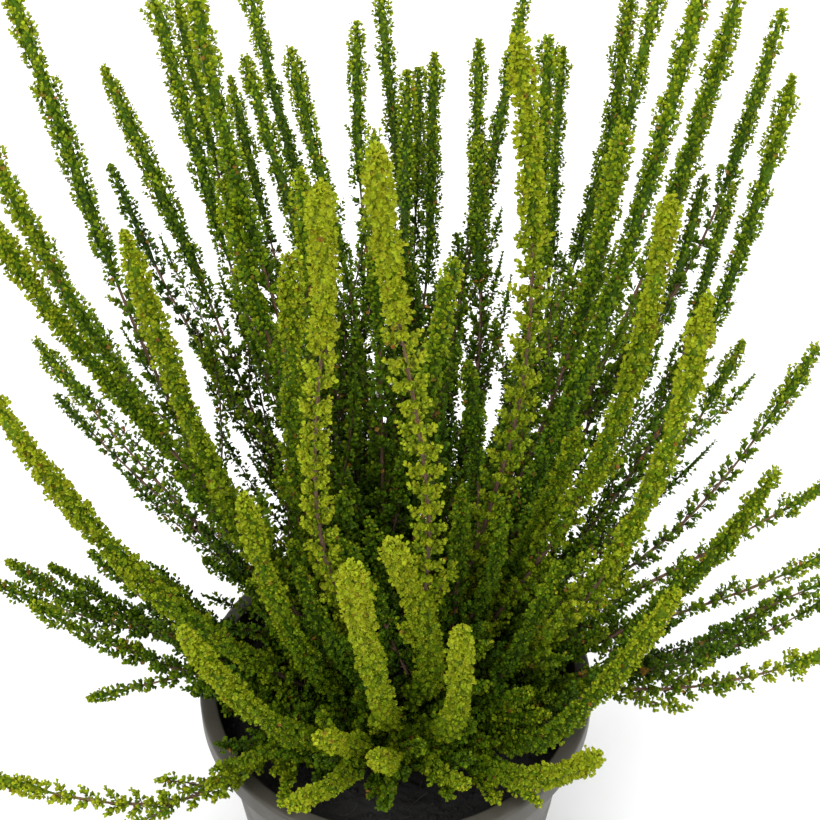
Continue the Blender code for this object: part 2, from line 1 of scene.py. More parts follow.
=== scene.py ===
"""Looks of the potted heather: fine leaves, bark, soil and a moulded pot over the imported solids.

Metres, +Z up. The origin is the centre of the pot's flat base. Azimuth 0 points along -Y, the front,
and grows towards +X. Lean is measured from upright. The shoots' centrelines are grown by the same
table and the same rules as the solids, so each finer stem stays where its solid is.
"""

import json
import logging
import math
from dataclasses import dataclass, field, fields
from enum import Enum
from typing import Sequence

import bmesh
import bpy
import numpy as np
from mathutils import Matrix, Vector

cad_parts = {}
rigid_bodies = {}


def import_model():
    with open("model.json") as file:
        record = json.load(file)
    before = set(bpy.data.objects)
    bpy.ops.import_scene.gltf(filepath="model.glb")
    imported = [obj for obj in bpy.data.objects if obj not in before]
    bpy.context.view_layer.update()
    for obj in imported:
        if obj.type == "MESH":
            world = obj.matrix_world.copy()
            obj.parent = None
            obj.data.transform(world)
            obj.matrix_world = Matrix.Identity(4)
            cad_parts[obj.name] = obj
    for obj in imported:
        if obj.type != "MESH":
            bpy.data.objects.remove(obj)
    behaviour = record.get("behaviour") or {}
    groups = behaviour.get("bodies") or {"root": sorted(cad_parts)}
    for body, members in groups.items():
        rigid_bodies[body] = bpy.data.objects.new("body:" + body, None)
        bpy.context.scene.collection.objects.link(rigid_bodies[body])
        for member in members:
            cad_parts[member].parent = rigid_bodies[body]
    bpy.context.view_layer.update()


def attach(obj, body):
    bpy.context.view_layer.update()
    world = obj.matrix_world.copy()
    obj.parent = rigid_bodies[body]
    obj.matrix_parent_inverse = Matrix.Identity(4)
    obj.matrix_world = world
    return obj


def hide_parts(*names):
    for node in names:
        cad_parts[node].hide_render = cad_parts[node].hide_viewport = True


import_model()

LOG = logging.getLogger("heather")
MM = 0.001
Array = np.ndarray
Colour = tuple[float, float, float]
Stop = tuple[float, Colour]
Socket = bpy.types.NodeSocket

ARCH_POINTS = 65
SWAY_POWER = 0.8  # below one, a shoot sways most before its middle
FRAME_START = np.array([0.3, 0.2, 1.0])  # a direction that no shoot starts in
ASLANT = np.array([0.31, 0.2, 0.93])  # a direction that no twiglet quite takes


class Girth(Enum):
    """Width of a leafy shoot across its tufts, in mm."""

    SLIM = 7
    MEDIUM = 9
    FULL = 10
    STOUT = 11


SLIM, MEDIUM, FULL, STOUT = Girth.SLIM, Girth.MEDIUM, Girth.FULL, Girth.STOUT

# Each stem is its main shoot and then its side shoots. A shoot is its tip's azimuth and lean in
# degrees and its reach in mm, all seen from the middle of the soil's top, then its girth. Then
# come its sway, sideways in mm, its bow in degrees, and the share of its stem where it leaves.
STEMS = [
    # Tall shoots at the back on the left
    [(-130, 34, 285, MEDIUM, 12, 12), (-100, 47, 91, MEDIUM, 0, 8, 0.12)],
    [(-144, 44, 248, MEDIUM, -4, 0), (-145, 55, 225, SLIM, 8, 4, 0.4),
     (-140, 36, 80, SLIM, 0, 8, 0.12)],
    [(-109, 31, 250, MEDIUM, -6, 16)],
    [(-128, 64, 188, SLIM, 0, 20), (-129, 72, 175, SLIM, 0, 20, 0.2),
     (-118, 56, 95, SLIM, 0, 8, 0.14)],
    [(-151, 40, 268, MEDIUM, 4, 8), (-155, 43, 266, SLIM, 0, 14, 0.35),
     (-158, 30, 85, MEDIUM, 0, 8, 0.1)],
    [(-140, 20, 270, MEDIUM, -10, 16), (-141, 26, 200, MEDIUM, 0, 10, 0.2),
     (-133, 16, 90, MEDIUM, 0, 8, 0.14)],
    [(-162, 46, 240, MEDIUM, -12, 2), (-161, 51, 240, SLIM, 6, 16, 0.3),
     (-170, 40, 90, SLIM, 0, 8, 0.12)],
    [(-166, 55, 280, SLIM, -10, 2), (-158, 53, 215, MEDIUM, 0, 16, 0.2)],
    [(-168, 48, 243, MEDIUM, -12, 0), (-155, 20, 200, MEDIUM, 6, 18, 0.15),
     (180, 36, 85, SLIM, 0, 8, 0.12)],
    [(-179, 54, 275, SLIM, -16, 8), (-176, 47, 250, SLIM, 12, 16, 0.3)],
    [(178, 50, 235, SLIM, 0, 14), (-175, 46, 150, MEDIUM, 0, 12, 0.2),
     (172, 40, 90, SLIM, 0, 8, 0.14)],
    # The left side
    [(-83, 19, 230, MEDIUM, 0, 12), (-100, 31, 235, MEDIUM, -10, 20, 0.15),
     (-111, 30, 78, MEDIUM, 0, 8, 0.1)],
    [(-123, 11, 190, MEDIUM, 10, 14), (-141, 23, 150, MEDIUM, 0, 12, 0.2),
     (-76, 31, 61, SLIM, 0, 8, 0.06), (-66, 14, 68, SLIM, 0, 8, 0.08)],
    [(-67, 32, 225, FULL, 0, 16), (-96, 41, 77, MEDIUM, 0, 8, 0.06)],
    [(-95, 70, 152, SLIM, 0, 18), (-92, 62, 148, SLIM, 0, 16, 0.6), (-98, 66, 133, SLIM, 0, 16, 0.45),
     (-94, 54, 101, SLIM, 0, 8, 0.2)],
    [(-84, 61, 138, MEDIUM, 0, 34), (-81, 54, 58, SLIM, 0, 8, 0.1), (-73, 71, 60, SLIM, 0, 8, 0.14)],
    [(-85, 83, 110, SLIM, -4, 10), (-112, 76, 125, SLIM, 0, 14, 0.3)],
    [(-66, 75, 155, MEDIUM, 32, 24), (-44, 68, 95, SLIM, 0, 4, 0.2), (-33, 77, 72, SLIM, 0, 8, 0.12)],
    # The front
    [(-18, 12, 270, FULL, -16, 0), (-1, 18, 55, SLIM, 0, 8, 0.06)],
    [(-4, 11, 280, FULL, 12, 0), (-138, 9, 83, SLIM, 0, 8, 0.08)],
    [(73, 7, 280, FULL, 4, 17), (116, 15, 100, SLIM, 0, 8, 0.18), (137, 6, 74, SLIM, 0, 8, 0.08)],
    [(-61, 22, 140, FULL, 12, 22), (-80, 21, 95, MEDIUM, 0, 10, 0.2),
     (-48, 34, 56, MEDIUM, 0, 8, 0.06)],
    [(-42, 38, 150, FULL, 12, 26), (-41, 73, 67, SLIM, 0, 8, 0.08)],
    [(-7, 29, 200, STOUT, 4, 12), (-57, 20, 95, MEDIUM, 0, 10, 0.15), (-25, 38, 48, SLIM, 0, 8, 0.06)],
    [(-1, 23, 160, STOUT, 16, 4), (-58, 14, 100, MEDIUM, 0, 10, 0.2), (58, 33, 66, SLIM, 0, 8, 0.08)],
    [(13, 32, 155, STOUT, 6, 24), (31, 44, 50, SLIM, 0, 8, 0.06)],
    [(-17, 46, 110, FULL, 6, 10), (-19, 56, 117, FULL, 6, 16, 0.15)],
    [(-5, 49, 100, FULL, 0, 16), (19, 61, 80, MEDIUM, 0, 16, 0.15)],
    [(34, 52, 135, FULL, -4, 40), (30, 75, 70, SLIM, 0, 8, 0.16), (39, 77, 78, SLIM, 0, 8, 0.12)],
    [(62, 42, 145, FULL, -18, 34), (88, 52, 125, MEDIUM, -10, 26, 0.3),
     (55, 52, 68, MEDIUM, 0, 8, 0.12)],
    [(91, 48, 165, MEDIUM, -9, 36), (79, 54, 89, MEDIUM, 0, 8, 0.16)],
    [(67, 31, 110, MEDIUM, -12, 28), (47, 48, 80, MEDIUM, -8, 20, 0.2),
     (51, 61, 78, MEDIUM, 0, 8, 0.22)],
    [(77, 17, 120, MEDIUM, -6, 26), (74, 11, 115, SLIM, 0, 8, 0.3), (49, 49, 62, SLIM, 0, 8, 0.08),
     (57, 16, 66, SLIM, 0, 8, 0.14)],
    [(96, 25, 140, MEDIUM, 0, 14), (153, 25, 130, MEDIUM, -6, 20, 0.1),
     (78, 51, 73, MEDIUM, 0, 8, 0.06), (81, 39, 80, MEDIUM, 0, 8, 0.18)],
    # The right side
    [(72, 18, 250, MEDIUM, 14, 18), (89, 48, 100, SLIM, 0, 8, 0.16)],
    [(66, 23, 235, MEDIUM, 0, 24), (66, 30, 69, SLIM, 0, 8, 0.06)],
    [(128, 64, 185, SLIM, -14, 28), (138, 57, 228, SLIM, -6, 22, 0.3)],
    [(118, 61, 198, MEDIUM, -12, 34), (112, 54, 95, SLIM, 0, 8, 0.14)],
    [(104, 66, 183, SLIM, 0, 6)],
    [(101, 75, 172, SLIM, 0, 20), (92, 69, 171, SLIM, 0, 20, 0.25)],
    [(87, 77, 162, MEDIUM, -10, 24), (94, 74, 166, SLIM, -6, 20, 0.2), (73, 68, 79, SLIM, 0, 8, 0.14)],
    # Tall shoots at the back on the right
    [(175, 52, 245, MEDIUM, 0, 18), (177, 58, 250, SLIM, 0, 12, 0.35)],
    [(170, 51, 250, SLIM, -14, 28), (168, 49, 210, MEDIUM, -6, 20, 0.2)],
    [(166, 52, 275, SLIM, 8, 8), (171, 62, 185, SLIM, 0, 12, 0.2), (160, 38, 88, SLIM, 0, 8, 0.12)],
    [(159, 40, 242, MEDIUM, -16, 28)],
    [(161, 53, 255, SLIM, -16, 28), (153, 54, 238, MEDIUM, 0, 8, 0.25),
     (150, 46, 92, SLIM, 0, 8, 0.12)],
    [(133, 27, 222, MEDIUM, 3, 28)],
    [(153, 45, 273, MEDIUM, -16, 28), (149, 43, 272, SLIM, 0, 12, 0.45),
     (146, 34, 95, SLIM, 0, 8, 0.1)],
    [(130, 27, 274, FULL, -3, 14), (90, 40, 94, SLIM, 0, 8, 0.08)],
    [(135, 36, 275, MEDIUM, 0, 24), (137, 46, 280, SLIM, -12, 24, 0.35)],
    [(127, 40, 258, MEDIUM, -10, 34), (118, 36, 90, SLIM, 0, 8, 0.1)],
    [(142, 49, 250, SLIM, -6, 30), (141, 56, 225, SLIM, -12, 28, 0.3)],
    # The low back side
    [(-176, 24, 205, MEDIUM, 0, 12), (158, 18, 170, FULL, 0, 10, 0.2), (-150, 40, 150, FULL, 0, 10, 0.15)],
    [(-168, 66, 190, MEDIUM, 0, 18), (-152, 76, 180, SLIM, 6, 16, 0.25),
     (-160, 58, 95, SLIM, 0, 8, 0.14)],
    [(172, 62, 165, FULL, 0, 18), (156, 74, 175, SLIM, -6, 16, 0.25)],
    [(180, 80, 175, SLIM, 0, 18), (166, 86, 150, SLIM, 0, 14, 0.35), (172, 70, 90, SLIM, 0, 8, 0.14)],
]


# Small tools for curves and meshes


def smoothstep(value: Array) -> Array:
    """Rises smoothly from 0 to 1 as the value does: 3v^2 - 2v^3, held at both ends."""
    value = np.clip(value, 0, 1)
    return value * value * (3 - 2 * value)


def unit(vectors: Array) -> Array:
    """Each vector divided by its length."""
    return vectors / np.maximum(np.linalg.norm(vectors, axis=-1, keepdims=True), 1e-12)


def direction(azimuth: float, lean: float) -> Array:
    """Unit vector for an azimuth and a lean in degrees.

    Args:
        azimuth: Degrees round Z, from -Y towards +X.
        lean: Degrees from upright.

    Returns:
        The vector.
    """
    turn, tilt = math.radians(azimuth), math.radians(lean)
    level = math.sin(tilt)
    return np.array([level * math.sin(turn), -level * math.cos(turn), math.cos(tilt)])


def lengths_along(path: Array) -> Array:
    """Distance of each point from the path's first point, measured along the path."""
    steps = np.linalg.norm(np.diff(path, axis=0), axis=1)
    return np.concatenate([[0], np.cumsum(steps)])


def points_at(path: Array, along: Array) -> Array:
    """Points of the path at these distances from its start."""
    measured = lengths_along(path)
    return np.stack([np.interp(along, measured, path[:, axis]) for axis in range(3)], axis=1)


def evenly(path: Array, step: float) -> Array:
    """The path with its points spaced about one step apart."""
    length = lengths_along(path)[-1]
    return points_at(path, np.linspace(0, length, max(5, round(length / step) + 1)))


def smooth_along(values: Array, count: int) -> Array:
    """Evens out values along one path, keeping its ends.

    Args:
        values: One row per point.
        count: How often each inner row becomes half itself and a quarter of each neighbour.

    Returns:
        The evened rows.
    """
    for _ in range(count):
        inner = 0.25 * values[:-2] + 0.5 * values[1:-1] + 0.25 * values[2:]
        values = np.concatenate([values[:1], inner, values[-1:]])
    return values


def arch(start: Array, leaving: Array, end: Array, arriving: Array, sideways: Array) -> Array:
    """A cubic curve between two points with these end directions, swayed sideways.

    Args:
        start: First point.
        leaving: Direction at the first point.
        end: Last point.
        arriving: Direction at the last point.
        sideways: How far the middle is swayed, by sin^2(pi t^0.8).

    Returns:
        The curve's points.
    """
    t = np.linspace(0, 1, ARCH_POINTS)[:, None]
    span = np.linalg.norm(end - start)
    curve = (2 * t**3 - 3 * t**2 + 1) * start + (3 * t**2 - 2 * t**3) * end
    curve += span * ((t**3 - 2 * t**2 + t) * leaving + (t**3 - t**2) * arriving)
    return curve + np.sin(math.pi * t**SWAY_POWER) ** 2 * sideways


def carried_frames(ways: Array, first: Array) -> tuple[Array, Array]:
    """Two sideways directions at each point, carried along a path without twisting.

    Args:
        ways: Direction of the path at each point.
        first: A vector that isn't along the path's first direction.

    Returns:
        The two directions, one row per point each.
    """
    side = np.cross(ways[0], first)
    sides = np.empty_like(ways)
    for n, way in enumerate(ways):
        side = side - way * (side @ way)
        side = side / np.linalg.norm(side)
        sides[n] = side
    return sides, np.cross(ways, sides)


def ripples(
    points: Array, wave_length: float, chance: np.random.Generator, count: int = 28
) -> Array:
    """Smooth random relief: the mean of many cosine waves of random direction and phase.

    Args:
        points: One row per point.
        wave_length: Middle of the waves' lengths.
        chance: Source of the random draws.
        count: How many waves.

    Returns:
        One value per point, mostly between -1 and 1.
    """
    ways = unit(chance.normal(size=(count, 3)))
    numbers = math.tau / (wave_length * chance.uniform(0.6, 1.7, count))
    phases = chance.uniform(0, math.tau, count)
    return np.cos(points @ (ways * numbers[:, None]).T + phases).sum(axis=1) / math.sqrt(count / 2)


def make_mesh(
    name: str, points: Array, faces: Sequence[Array], smooth: bool = True
) -> bpy.types.Mesh:
    """A mesh from whole arrays.

    Args:
        name: Name of the mesh.
        points: One row per point.
        faces: Arrays of point numbers, each with one row per face and as many columns as corners.
        smooth: Whether the faces are shaded smooth.

    Returns:
        The mesh.
    """
    mesh = bpy.data.meshes.new(name)
    corners = np.concatenate([part.ravel() for part in faces]).astype(np.int32)
    sizes = np.concatenate([np.full(len(part), part.shape[1]) for part in faces])
    mesh.vertices.add(len(points))
    mesh.vertices.foreach_set("co", np.asarray(points, dtype=np.float32).ravel())
    mesh.loops.add(len(corners))
    mesh.loops.foreach_set("vertex_index", corners)
    mesh.polygons.add(len(sizes))
    mesh.polygons.foreach_set("loop_start", (np.cumsum(sizes) - sizes).astype(np.int32))
    mesh.polygons.foreach_set("use_smooth", np.full(len(sizes), smooth))
    mesh.update(calc_edges=True)
    return mesh


def paint(mesh: bpy.types.Mesh, name: str, red: Array, green: Array, blue: Array) -> None:
    """Stores three values for each point of the mesh as one colour attribute.

    Args:
        mesh: The mesh.
        name: The attribute's name.
        red: First value of each point.
        green: Second value.
        blue: Third value.
    """
    layer = mesh.color_attributes.new(name, "FLOAT_COLOR", "POINT")
    colours = np.stack([red, green, blue, np.ones_like(red)], axis=1)
    layer.data.foreach_set("color", colours.astype(np.float32).ravel())


def place(
    name: str, mesh: bpy.types.Mesh, finish: bpy.types.Material, slot: str, *nodes: str
) -> bpy.types.Object:
    """Links a finished mesh as a piece that stands for these nodes.

    Args:
        name: Name of the piece.
        mesh: Its mesh, in its place.
        finish: Its material.
        slot: The record's material slot; not used.
        nodes: The nodes that it replaces.

    Returns:
        The piece.
    """
    piece = bpy.data.objects.new(name, mesh)
    bpy.context.scene.collection.objects.link(piece)
    mesh.materials.append(finish)
    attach(piece, "root")
    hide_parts(*nodes)
    LOG.info("%s: %d faces", name, len(mesh.polygons))
    return piece


def turned(radius: Array, height: Array, spokes: int) -> Array:
    """Rings of points about Z: (r cos a, r sin a, h) for each radius and height and each angle a.

    Args:
        radius: Radius of each ring.
        height: Its height.
        spokes: Points on each ring.

    Returns:
        One row of points per ring.
    """
    turn = np.arange(spokes) * math.tau / spokes
    return np.stack([
        np.outer(radius, np.cos(turn)),
        np.outer(radius, np.sin(turn)),
        np.outer(height, np.ones_like(turn)),
    ], axis=-1)


def wrapped(rings: int, spokes: int) -> tuple[Array, Array]:
    """Faces of a closed shell of rings, each of whose two ends meets in one middle point.

    Point n of ring m has the number m * spokes + n. The middles of the first and the last ring
    are the last two points.

    Args:
        rings: How many rings.
        spokes: How many points each ring has.

    Returns:
        The four-sided faces between the rings, and the three-sided ones of both ends.
    """
    ring, spoke = np.meshgrid(np.arange(rings - 1), np.arange(spokes), indexing="ij")
    after = (spoke + 1) % spokes
    low, high = ring * spokes, (ring + 1) * spokes
    quads = np.stack([low + spoke, low + after, high + after, high + spoke], axis=-1).reshape(-1, 4)
    last = (rings - 1) * spokes
    ends = np.concatenate([
        np.stack([np.full(spokes, rings * spokes), after[0], spoke[0]], axis=1),
        np.stack([np.full(spokes, rings * spokes + 1), last + spoke[0], last + after[0]], axis=1),
    ])
    return quads, ends


def tube(
    path: Array, radii: Array, sides: int, first: Array, squash: Array | None = None
) -> tuple[Array, Array, Array]:
    """A closed tube along a path.

    A ring point is the path's point plus its radius times (cos a, sin a) in the carried frame.

    Args:
        path: Centreline points.
        radii: Radius at each point.
        sides: Points on each ring.
        first: Vector that starts the carried frame.
        squash: Factor on each ring point's radius, one row per ring, or None.

    Returns:
        Points, four-sided faces and the three-sided faces of both ends.
    """
    side, across = carried_frames(unit(np.gradient(path, axis=0)), first)
    turn = np.arange(sides) * math.tau / sides
    reach = radii[:, None] * (np.ones((len(path), sides)) if squash is None else squash)
    rings = path[:, None] + reach[:, :, None] * (
        np.cos(turn)[None, :, None] * side[:, None] + np.sin(turn)[None, :, None] * across[:, None]
    )
    points = np.concatenate([rings.reshape(-1, 3), path[:1], path[-1:]])
    return points, *wrapped(len(path), sides)


def three_round(centre: Array, way: Array, radius: Array) -> list[Array]:
    """Three points round each centre, square to its way: the centre plus r (cos a, sin a).

    Args:
        centre: Centres, one row each.
        way: Direction at each.
        radius: Radius r at each.

    Returns:
        Three arrays of points, a row per centre.
    """
    side = unit(np.cross(way, ASLANT))
    across = np.cross(way, side)
    turns = np.arange(3) * math.tau / 3
    return [
        centre + radius[:, None] * (math.cos(turn) * side + math.sin(turn) * across) for turn in turns
    ]


@dataclass(frozen=True)
class Part:
    """Part of a mesh: its points, arrays of faces on them, and one tone for each point."""

    points: Array
    faces: list[Array]
    tone: Array

    @classmethod
    def gather(cls, parts: list["Part"]) -> "Part":
        """All the parts in one, with their point numbers moved on.

        Args:
            parts: The parts.

        Returns:
            The one part.
        """
        starts = np.cumsum([0] + [len(part.points) for part in parts])
        faces = [rows + start for part, start in zip(parts, starts) for rows in part.faces]
        points = np.concatenate([part.points for part in parts])
        return cls(points, faces, np.concatenate([part.tone for part in parts]))

    def mesh(self, name: str, attribute: str) -> bpy.types.Mesh:
        """Its mesh, with the tone stored as the attribute of this name.

        Args:
            name: Name of the mesh.
            attribute: Name of the attribute.

        Returns:
            The mesh.
        """
        made = make_mesh(name, self.points, self.faces)
        paint(made, attribute, self.tone, self.tone, self.tone)
        return made


# Finishes


@dataclass(frozen=True)
class NodeSketch:
    """A material's node tree, with short ways to add and join its nodes."""

    finish: bpy.types.Material

    @classmethod
    def start(cls, name: str, roughness: float) -> "NodeSketch":
        """A new Principled material with this name and roughness.

        Args:
            name: The material's name.
            roughness: Its roughness.

        Returns:
            The sketch of its nodes.
        """
        finish = bpy.data.materials.new(name)
        finish.use_nodes = True
        sketch = cls(finish)
        sketch.set(Roughness=roughness)
        return sketch

    @property
    def shader(self) -> bpy.types.Node:
        """The material's Principled shader."""
        return self.finish.node_tree.nodes["Principled BSDF"]

    def set(self, **values: float) -> None:
        """Sets constants on the shader's own sockets, a name's underscores standing for spaces."""
        for name, value in values.items():
            self.shader.inputs[name.replace("_", " ")].default_value = value

    def node(self, kind: str, **settings: object) -> bpy.types.Node:
        """Adds a node and sets these properties of it.

        Args:
            kind: The node's type.
            settings: Its properties by name.

        Returns:
            The node.
        """
        made = self.finish.node_tree.nodes.new(kind)
        for name, value in settings.items():
            setattr(made, name, value)
        return made

    def join(self, source: Socket, target: Socket) -> None:
        """Links one socket to another."""
        self.finish.node_tree.links.new(source, target)

    def stored(self, name: str) -> list[Socket]:
        """The three values that the mesh stores for each point under this name.

        Args:
            name: The attribute's name.

        Returns:
            The red, green and blue values.
        """
        colour = self.node("ShaderNodeAttribute", attribute_name=name)
        parts = self.node("ShaderNodeSeparateColor")
        self.join(colour.outputs["Color"], parts.inputs["Color"])
        return [parts.outputs[channel] for channel in ("Red", "Green", "Blue")]

    def noise(self, scale: float, detail: float, roughness: float = 0.5) -> Socket:
        """Noise between 0 and 1 over the piece's Object coordinates, at this scale per metre.

        Args:
            scale: Scale per metre.
            detail: How many finer layers it adds.
            roughness: How strong each finer layer is.

        Returns:
            The noise.
        """
        made = self.node("ShaderNodeTexNoise")
        for name, value in (("Scale", scale), ("Detail", detail), ("Roughness", roughness)):
            made.inputs[name].default_value = value
        self.join(self.node("ShaderNodeTexCoord").outputs["Object"], made.inputs["Vector"])
        return made.outputs["Fac"]

    def ramp(self, value: Socket, stops: Sequence[Stop]) -> Socket:
        """A colour that runs through these stops as the value grows.

        Args:
            value: What picks the colour.
            stops: Positions and their colours.

        Returns:
            The colour.
        """
        made = self.node("ShaderNodeValToRGB")
        while len(made.color_ramp.elements) < len(stops):
            made.color_ramp.elements.new(0.5)
        for element, (position, colour) in zip(made.color_ramp.elements, stops):
            element.position = position
            element.color = (*colour, 1.0)
        self.join(value, made.inputs["Fac"])
        return made.outputs["Color"]

    def scaled(self, value: Socket, factor: float, offset: float = 0.0) -> Socket:
        """The value times a factor, plus an offset.

        Args:
            value: The value.
            factor: What it is multiplied by.
            offset: What is added then.

        Returns:
            The result.
        """
        made = self.node("ShaderNodeMath", operation="MULTIPLY_ADD")
        self.join(value, made.inputs[0])
        made.inputs[1].default_value = factor
        made.inputs[2].default_value = offset
        return made.outputs["Value"]

    def total(self, first: Socket, second: Socket) -> Socket:
        """The sum of two values.

        Args:
            first: One value.
            second: The other.

        Returns:
            The sum.
        """
        made = self.node("ShaderNodeMath", operation="ADD")
        self.join(first, made.inputs[0])
        self.join(second, made.inputs[1])
        return made.outputs["Value"]

    def mix(
        self, share: Socket | float, below: Socket | Colour, above: Socket | Colour, blend: str = "MIX"
    ) -> Socket:
        """A blend of two colours.

        Args:
            share: How much of the second colour shows, from 0 to 1.
            below: The first colour.
            above: The second colour.
            blend: How the second colour meets the first.

        Returns:
            The blended colour.
        """
        made = self.node("ShaderNodeMix", data_type="RGBA", blend_type=blend)
        sockets = (made.inputs[0], made.inputs[6], made.inputs[7])
        for socket, value in zip(sockets, (share, below, above)):
            if isinstance(value, tuple):
                socket.default_value = (*value, 1.0)
            elif isinstance(value, float):
                socket.default_value = value
            else:
                self.join(value, socket)
        return made.outputs[2]

    def colour(self, source: Socket) -> None:
        """Gives the shader this base colour."""
        self.join(source, self.shader.inputs["Base Color"])

    def bump(self, height: Socket, strength: float, distance: float) -> None:
        """Feeds a height into the shader's normal.

        Args:
            height: The height.
            strength: How much of the relief is used.
            distance: Depth that a height of 1 stands for.
        """
        made = self.node("ShaderNodeBump")
        made.inputs["Strength"].default_value = strength
        made.inputs["Distance"].default_value = distance
        self.join(height, made.inputs["Height"])
        self.join(made.outputs["Normal"], self.shader.inputs["Normal"])


@dataclass(frozen=True)
class LeafFinish:
    """Small waxy leaves: dark green when old and shaded, yellow-green where young, some dried brown.

    The attribute leaf_tone holds in red how young a leaf is together with painted light and shade, in
    green a random draw for each leaf and in blue its dryness. Broad patches and the draw vary the
    green by the widths below.
    """

    stops: tuple[Stop, ...] = (
        (0.0, (0.013, 0.026, 0.0018)),
        (0.30, (0.031, 0.070, 0.0020)),
        (0.60, (0.083, 0.152, 0.0030)),
        (0.85, (0.206, 0.266, 0.006)),
        (1.0, (0.325, 0.368, 0.012)),
    )
    dry: Colour = (0.27, 0.115, 0.022)
    roughness: float = 0.55
    patch_scale: float = 90.0
    patch_width: float = 0.22
    hue_width: float = 0.030
    value_width: float = 0.22

    def build(self) -> bpy.types.Material:
        """Joins the tone's green, its patches and the dry colour.

        Returns:
            The material.
        """
        sketch = NodeSketch.start("heather_leaves_fine", self.roughness)
        youth, draw, dryness = sketch.stored("leaf_tone")
        patches = sketch.scaled(sketch.noise(self.patch_scale, 2.0), self.patch_width, -self.patch_width / 2)
        green = sketch.ramp(sketch.total(youth, patches), self.stops)
        hue = sketch.scaled(draw, self.hue_width, 0.5 - self.hue_width / 2)
        value = sketch.scaled(draw, self.value_width, 1.0 - self.value_width / 2)
        varied = sketch.node("ShaderNodeHueSaturation")
        for name, source in (("Hue", hue), ("Value", value), ("Color", green)):
            sketch.join(source, varied.inputs[name])
        sketch.colour(sketch.mix(dryness, varied.outputs["Color"], self.dry))
        sketch.set(IOR=1.40, Specular_IOR_Level=0.16)
        sketch.bump(sketch.noise(2600.0, 2.0), 0.25, 0.0002)
        return sketch.finish


@dataclass(frozen=True)
class BarkFinish:
    """Thin ridged bark: grey-brown at the foot, purplish brown above, greenish near the tip.

    The attribute bark_tone holds how young the bark is. Fine flecks multiply the colour.
    """

    stops: tuple[Stop, ...] = (
        (0.0, (0.075, 0.048, 0.036)),
        (0.35, (0.125, 0.066, 0.040)),
        (0.70, (0.185, 0.095, 0.050)),
        (1.0, (0.190, 0.165, 0.045)),
    )
    flecks: tuple[Stop, ...] = ((0.35, (0.45, 0.45, 0.45)), (0.7, (1.25, 1.2, 1.15)))
    roughness: float = 0.72

    def build(self) -> bpy.types.Material:
        """Joins the tone's brown, the flecks and the ridges.

        Returns:
            The material.
        """
        sketch = NodeSketch.start("heather_bark", self.roughness)
        brown = sketch.ramp(sketch.stored("bark_tone")[0], self.stops)
        flecks = sketch.ramp(sketch.noise(1400.0, 4.0, 0.65), self.flecks)
        sketch.colour(sketch.mix(1.0, brown, flecks, "MULTIPLY"))
        sketch.bump(sketch.noise(2400.0, 4.0, 0.7), 0.6, 0.0004)
        return sketch.finish


@dataclass(frozen=True)
class PlasticFinish:
    """Satin moulded plastic, grey-brown, with a fine grain, faint scuffs and a little dust.

    Where it is scuffed, dust covers part of it and it is rougher.
    """

    plain: Colour = (0.047, 0.043, 0.033)
    dust: Colour = (0.082, 0.076, 0.064)
    scuffs: tuple[Stop, ...] = ((0.48, (0, 0, 0)), (0.74, (1, 1, 1)))
    dusty: float = 0.30
    roughness: float = 0.46
    rougher: float = 0.20

    def build(self) -> bpy.types.Material:
        """Joins the plain colour, the scuffs and the grain.

        Returns:
            The material.
        """
        sketch = NodeSketch.start("pot_plastic", self.roughness)
        scuffs = sketch.ramp(sketch.noise(55.0, 5.0, 0.62), self.scuffs)
        sketch.colour(sketch.mix(sketch.scaled(scuffs, self.dusty), self.plain, self.dust))
        rough = sketch.scaled(scuffs, self.rougher, self.roughness)
        sketch.join(rough, sketch.shader.inputs["Roughness"])
        sketch.set(Specular_IOR_Level=0.32)
        sketch.bump(sketch.noise(3200.0, 2.0), 0.12, 0.0002)
        return sketch.finish


@dataclass(frozen=True)
class SoilFinish:
    """Moist peat: nearly black crumbs with brown fibres and a few pale bits.

    The attribute soil_tone holds paleness.
    """

    dark: Colour = (0.0040, 0.0036, 0.0034)
    brown: Colour = (0.017, 0.0135, 0.0110)
    pale: Colour = (0.07, 0.055, 0.042)
    grains: tuple[Stop, ...] = ((0.42, (0, 0, 0)), (0.72, (1, 1, 1)))
    roughness: float = 0.88

    def build(self) -> bpy.types.Material:
        """Joins the dark and brown grains and the pale bits.

        Returns:
            The material.
        """
        sketch = NodeSketch.start("potting_soil", self.roughness)
        grains = sketch.ramp(sketch.noise(900.0, 6.0, 0.7), self.grains)
        ground = sketch.mix(grains, self.dark, self.brown)
        sketch.colour(sketch.mix(sketch.stored("soil_tone")[0], ground, self.pale))
        sketch.bump(sketch.noise(1500.0, 6.0, 0.75), 0.8, 0.0008)
        return sketch.finish


@dataclass(frozen=True)
class FloorFinish:
    """A plain pale matt floor, faintly cloudy."""

    pale: Colour = (0.84, 0.845, 0.845)
    darker: float = 0.99
    roughness: float = 0.9

    def build(self) -> bpy.types.Material:
        """Joins the two pale colours.

        Returns:
            The material.
        """
        sketch = NodeSketch.start("pale_floor", self.roughness)
        shaded = tuple(self.darker * value for value in self.pale)
        sketch.colour(sketch.ramp(sketch.noise(3.0, 2.0), ((0.3, self.pale), (0.7, shaded))))
        return sketch.finish


# The pot


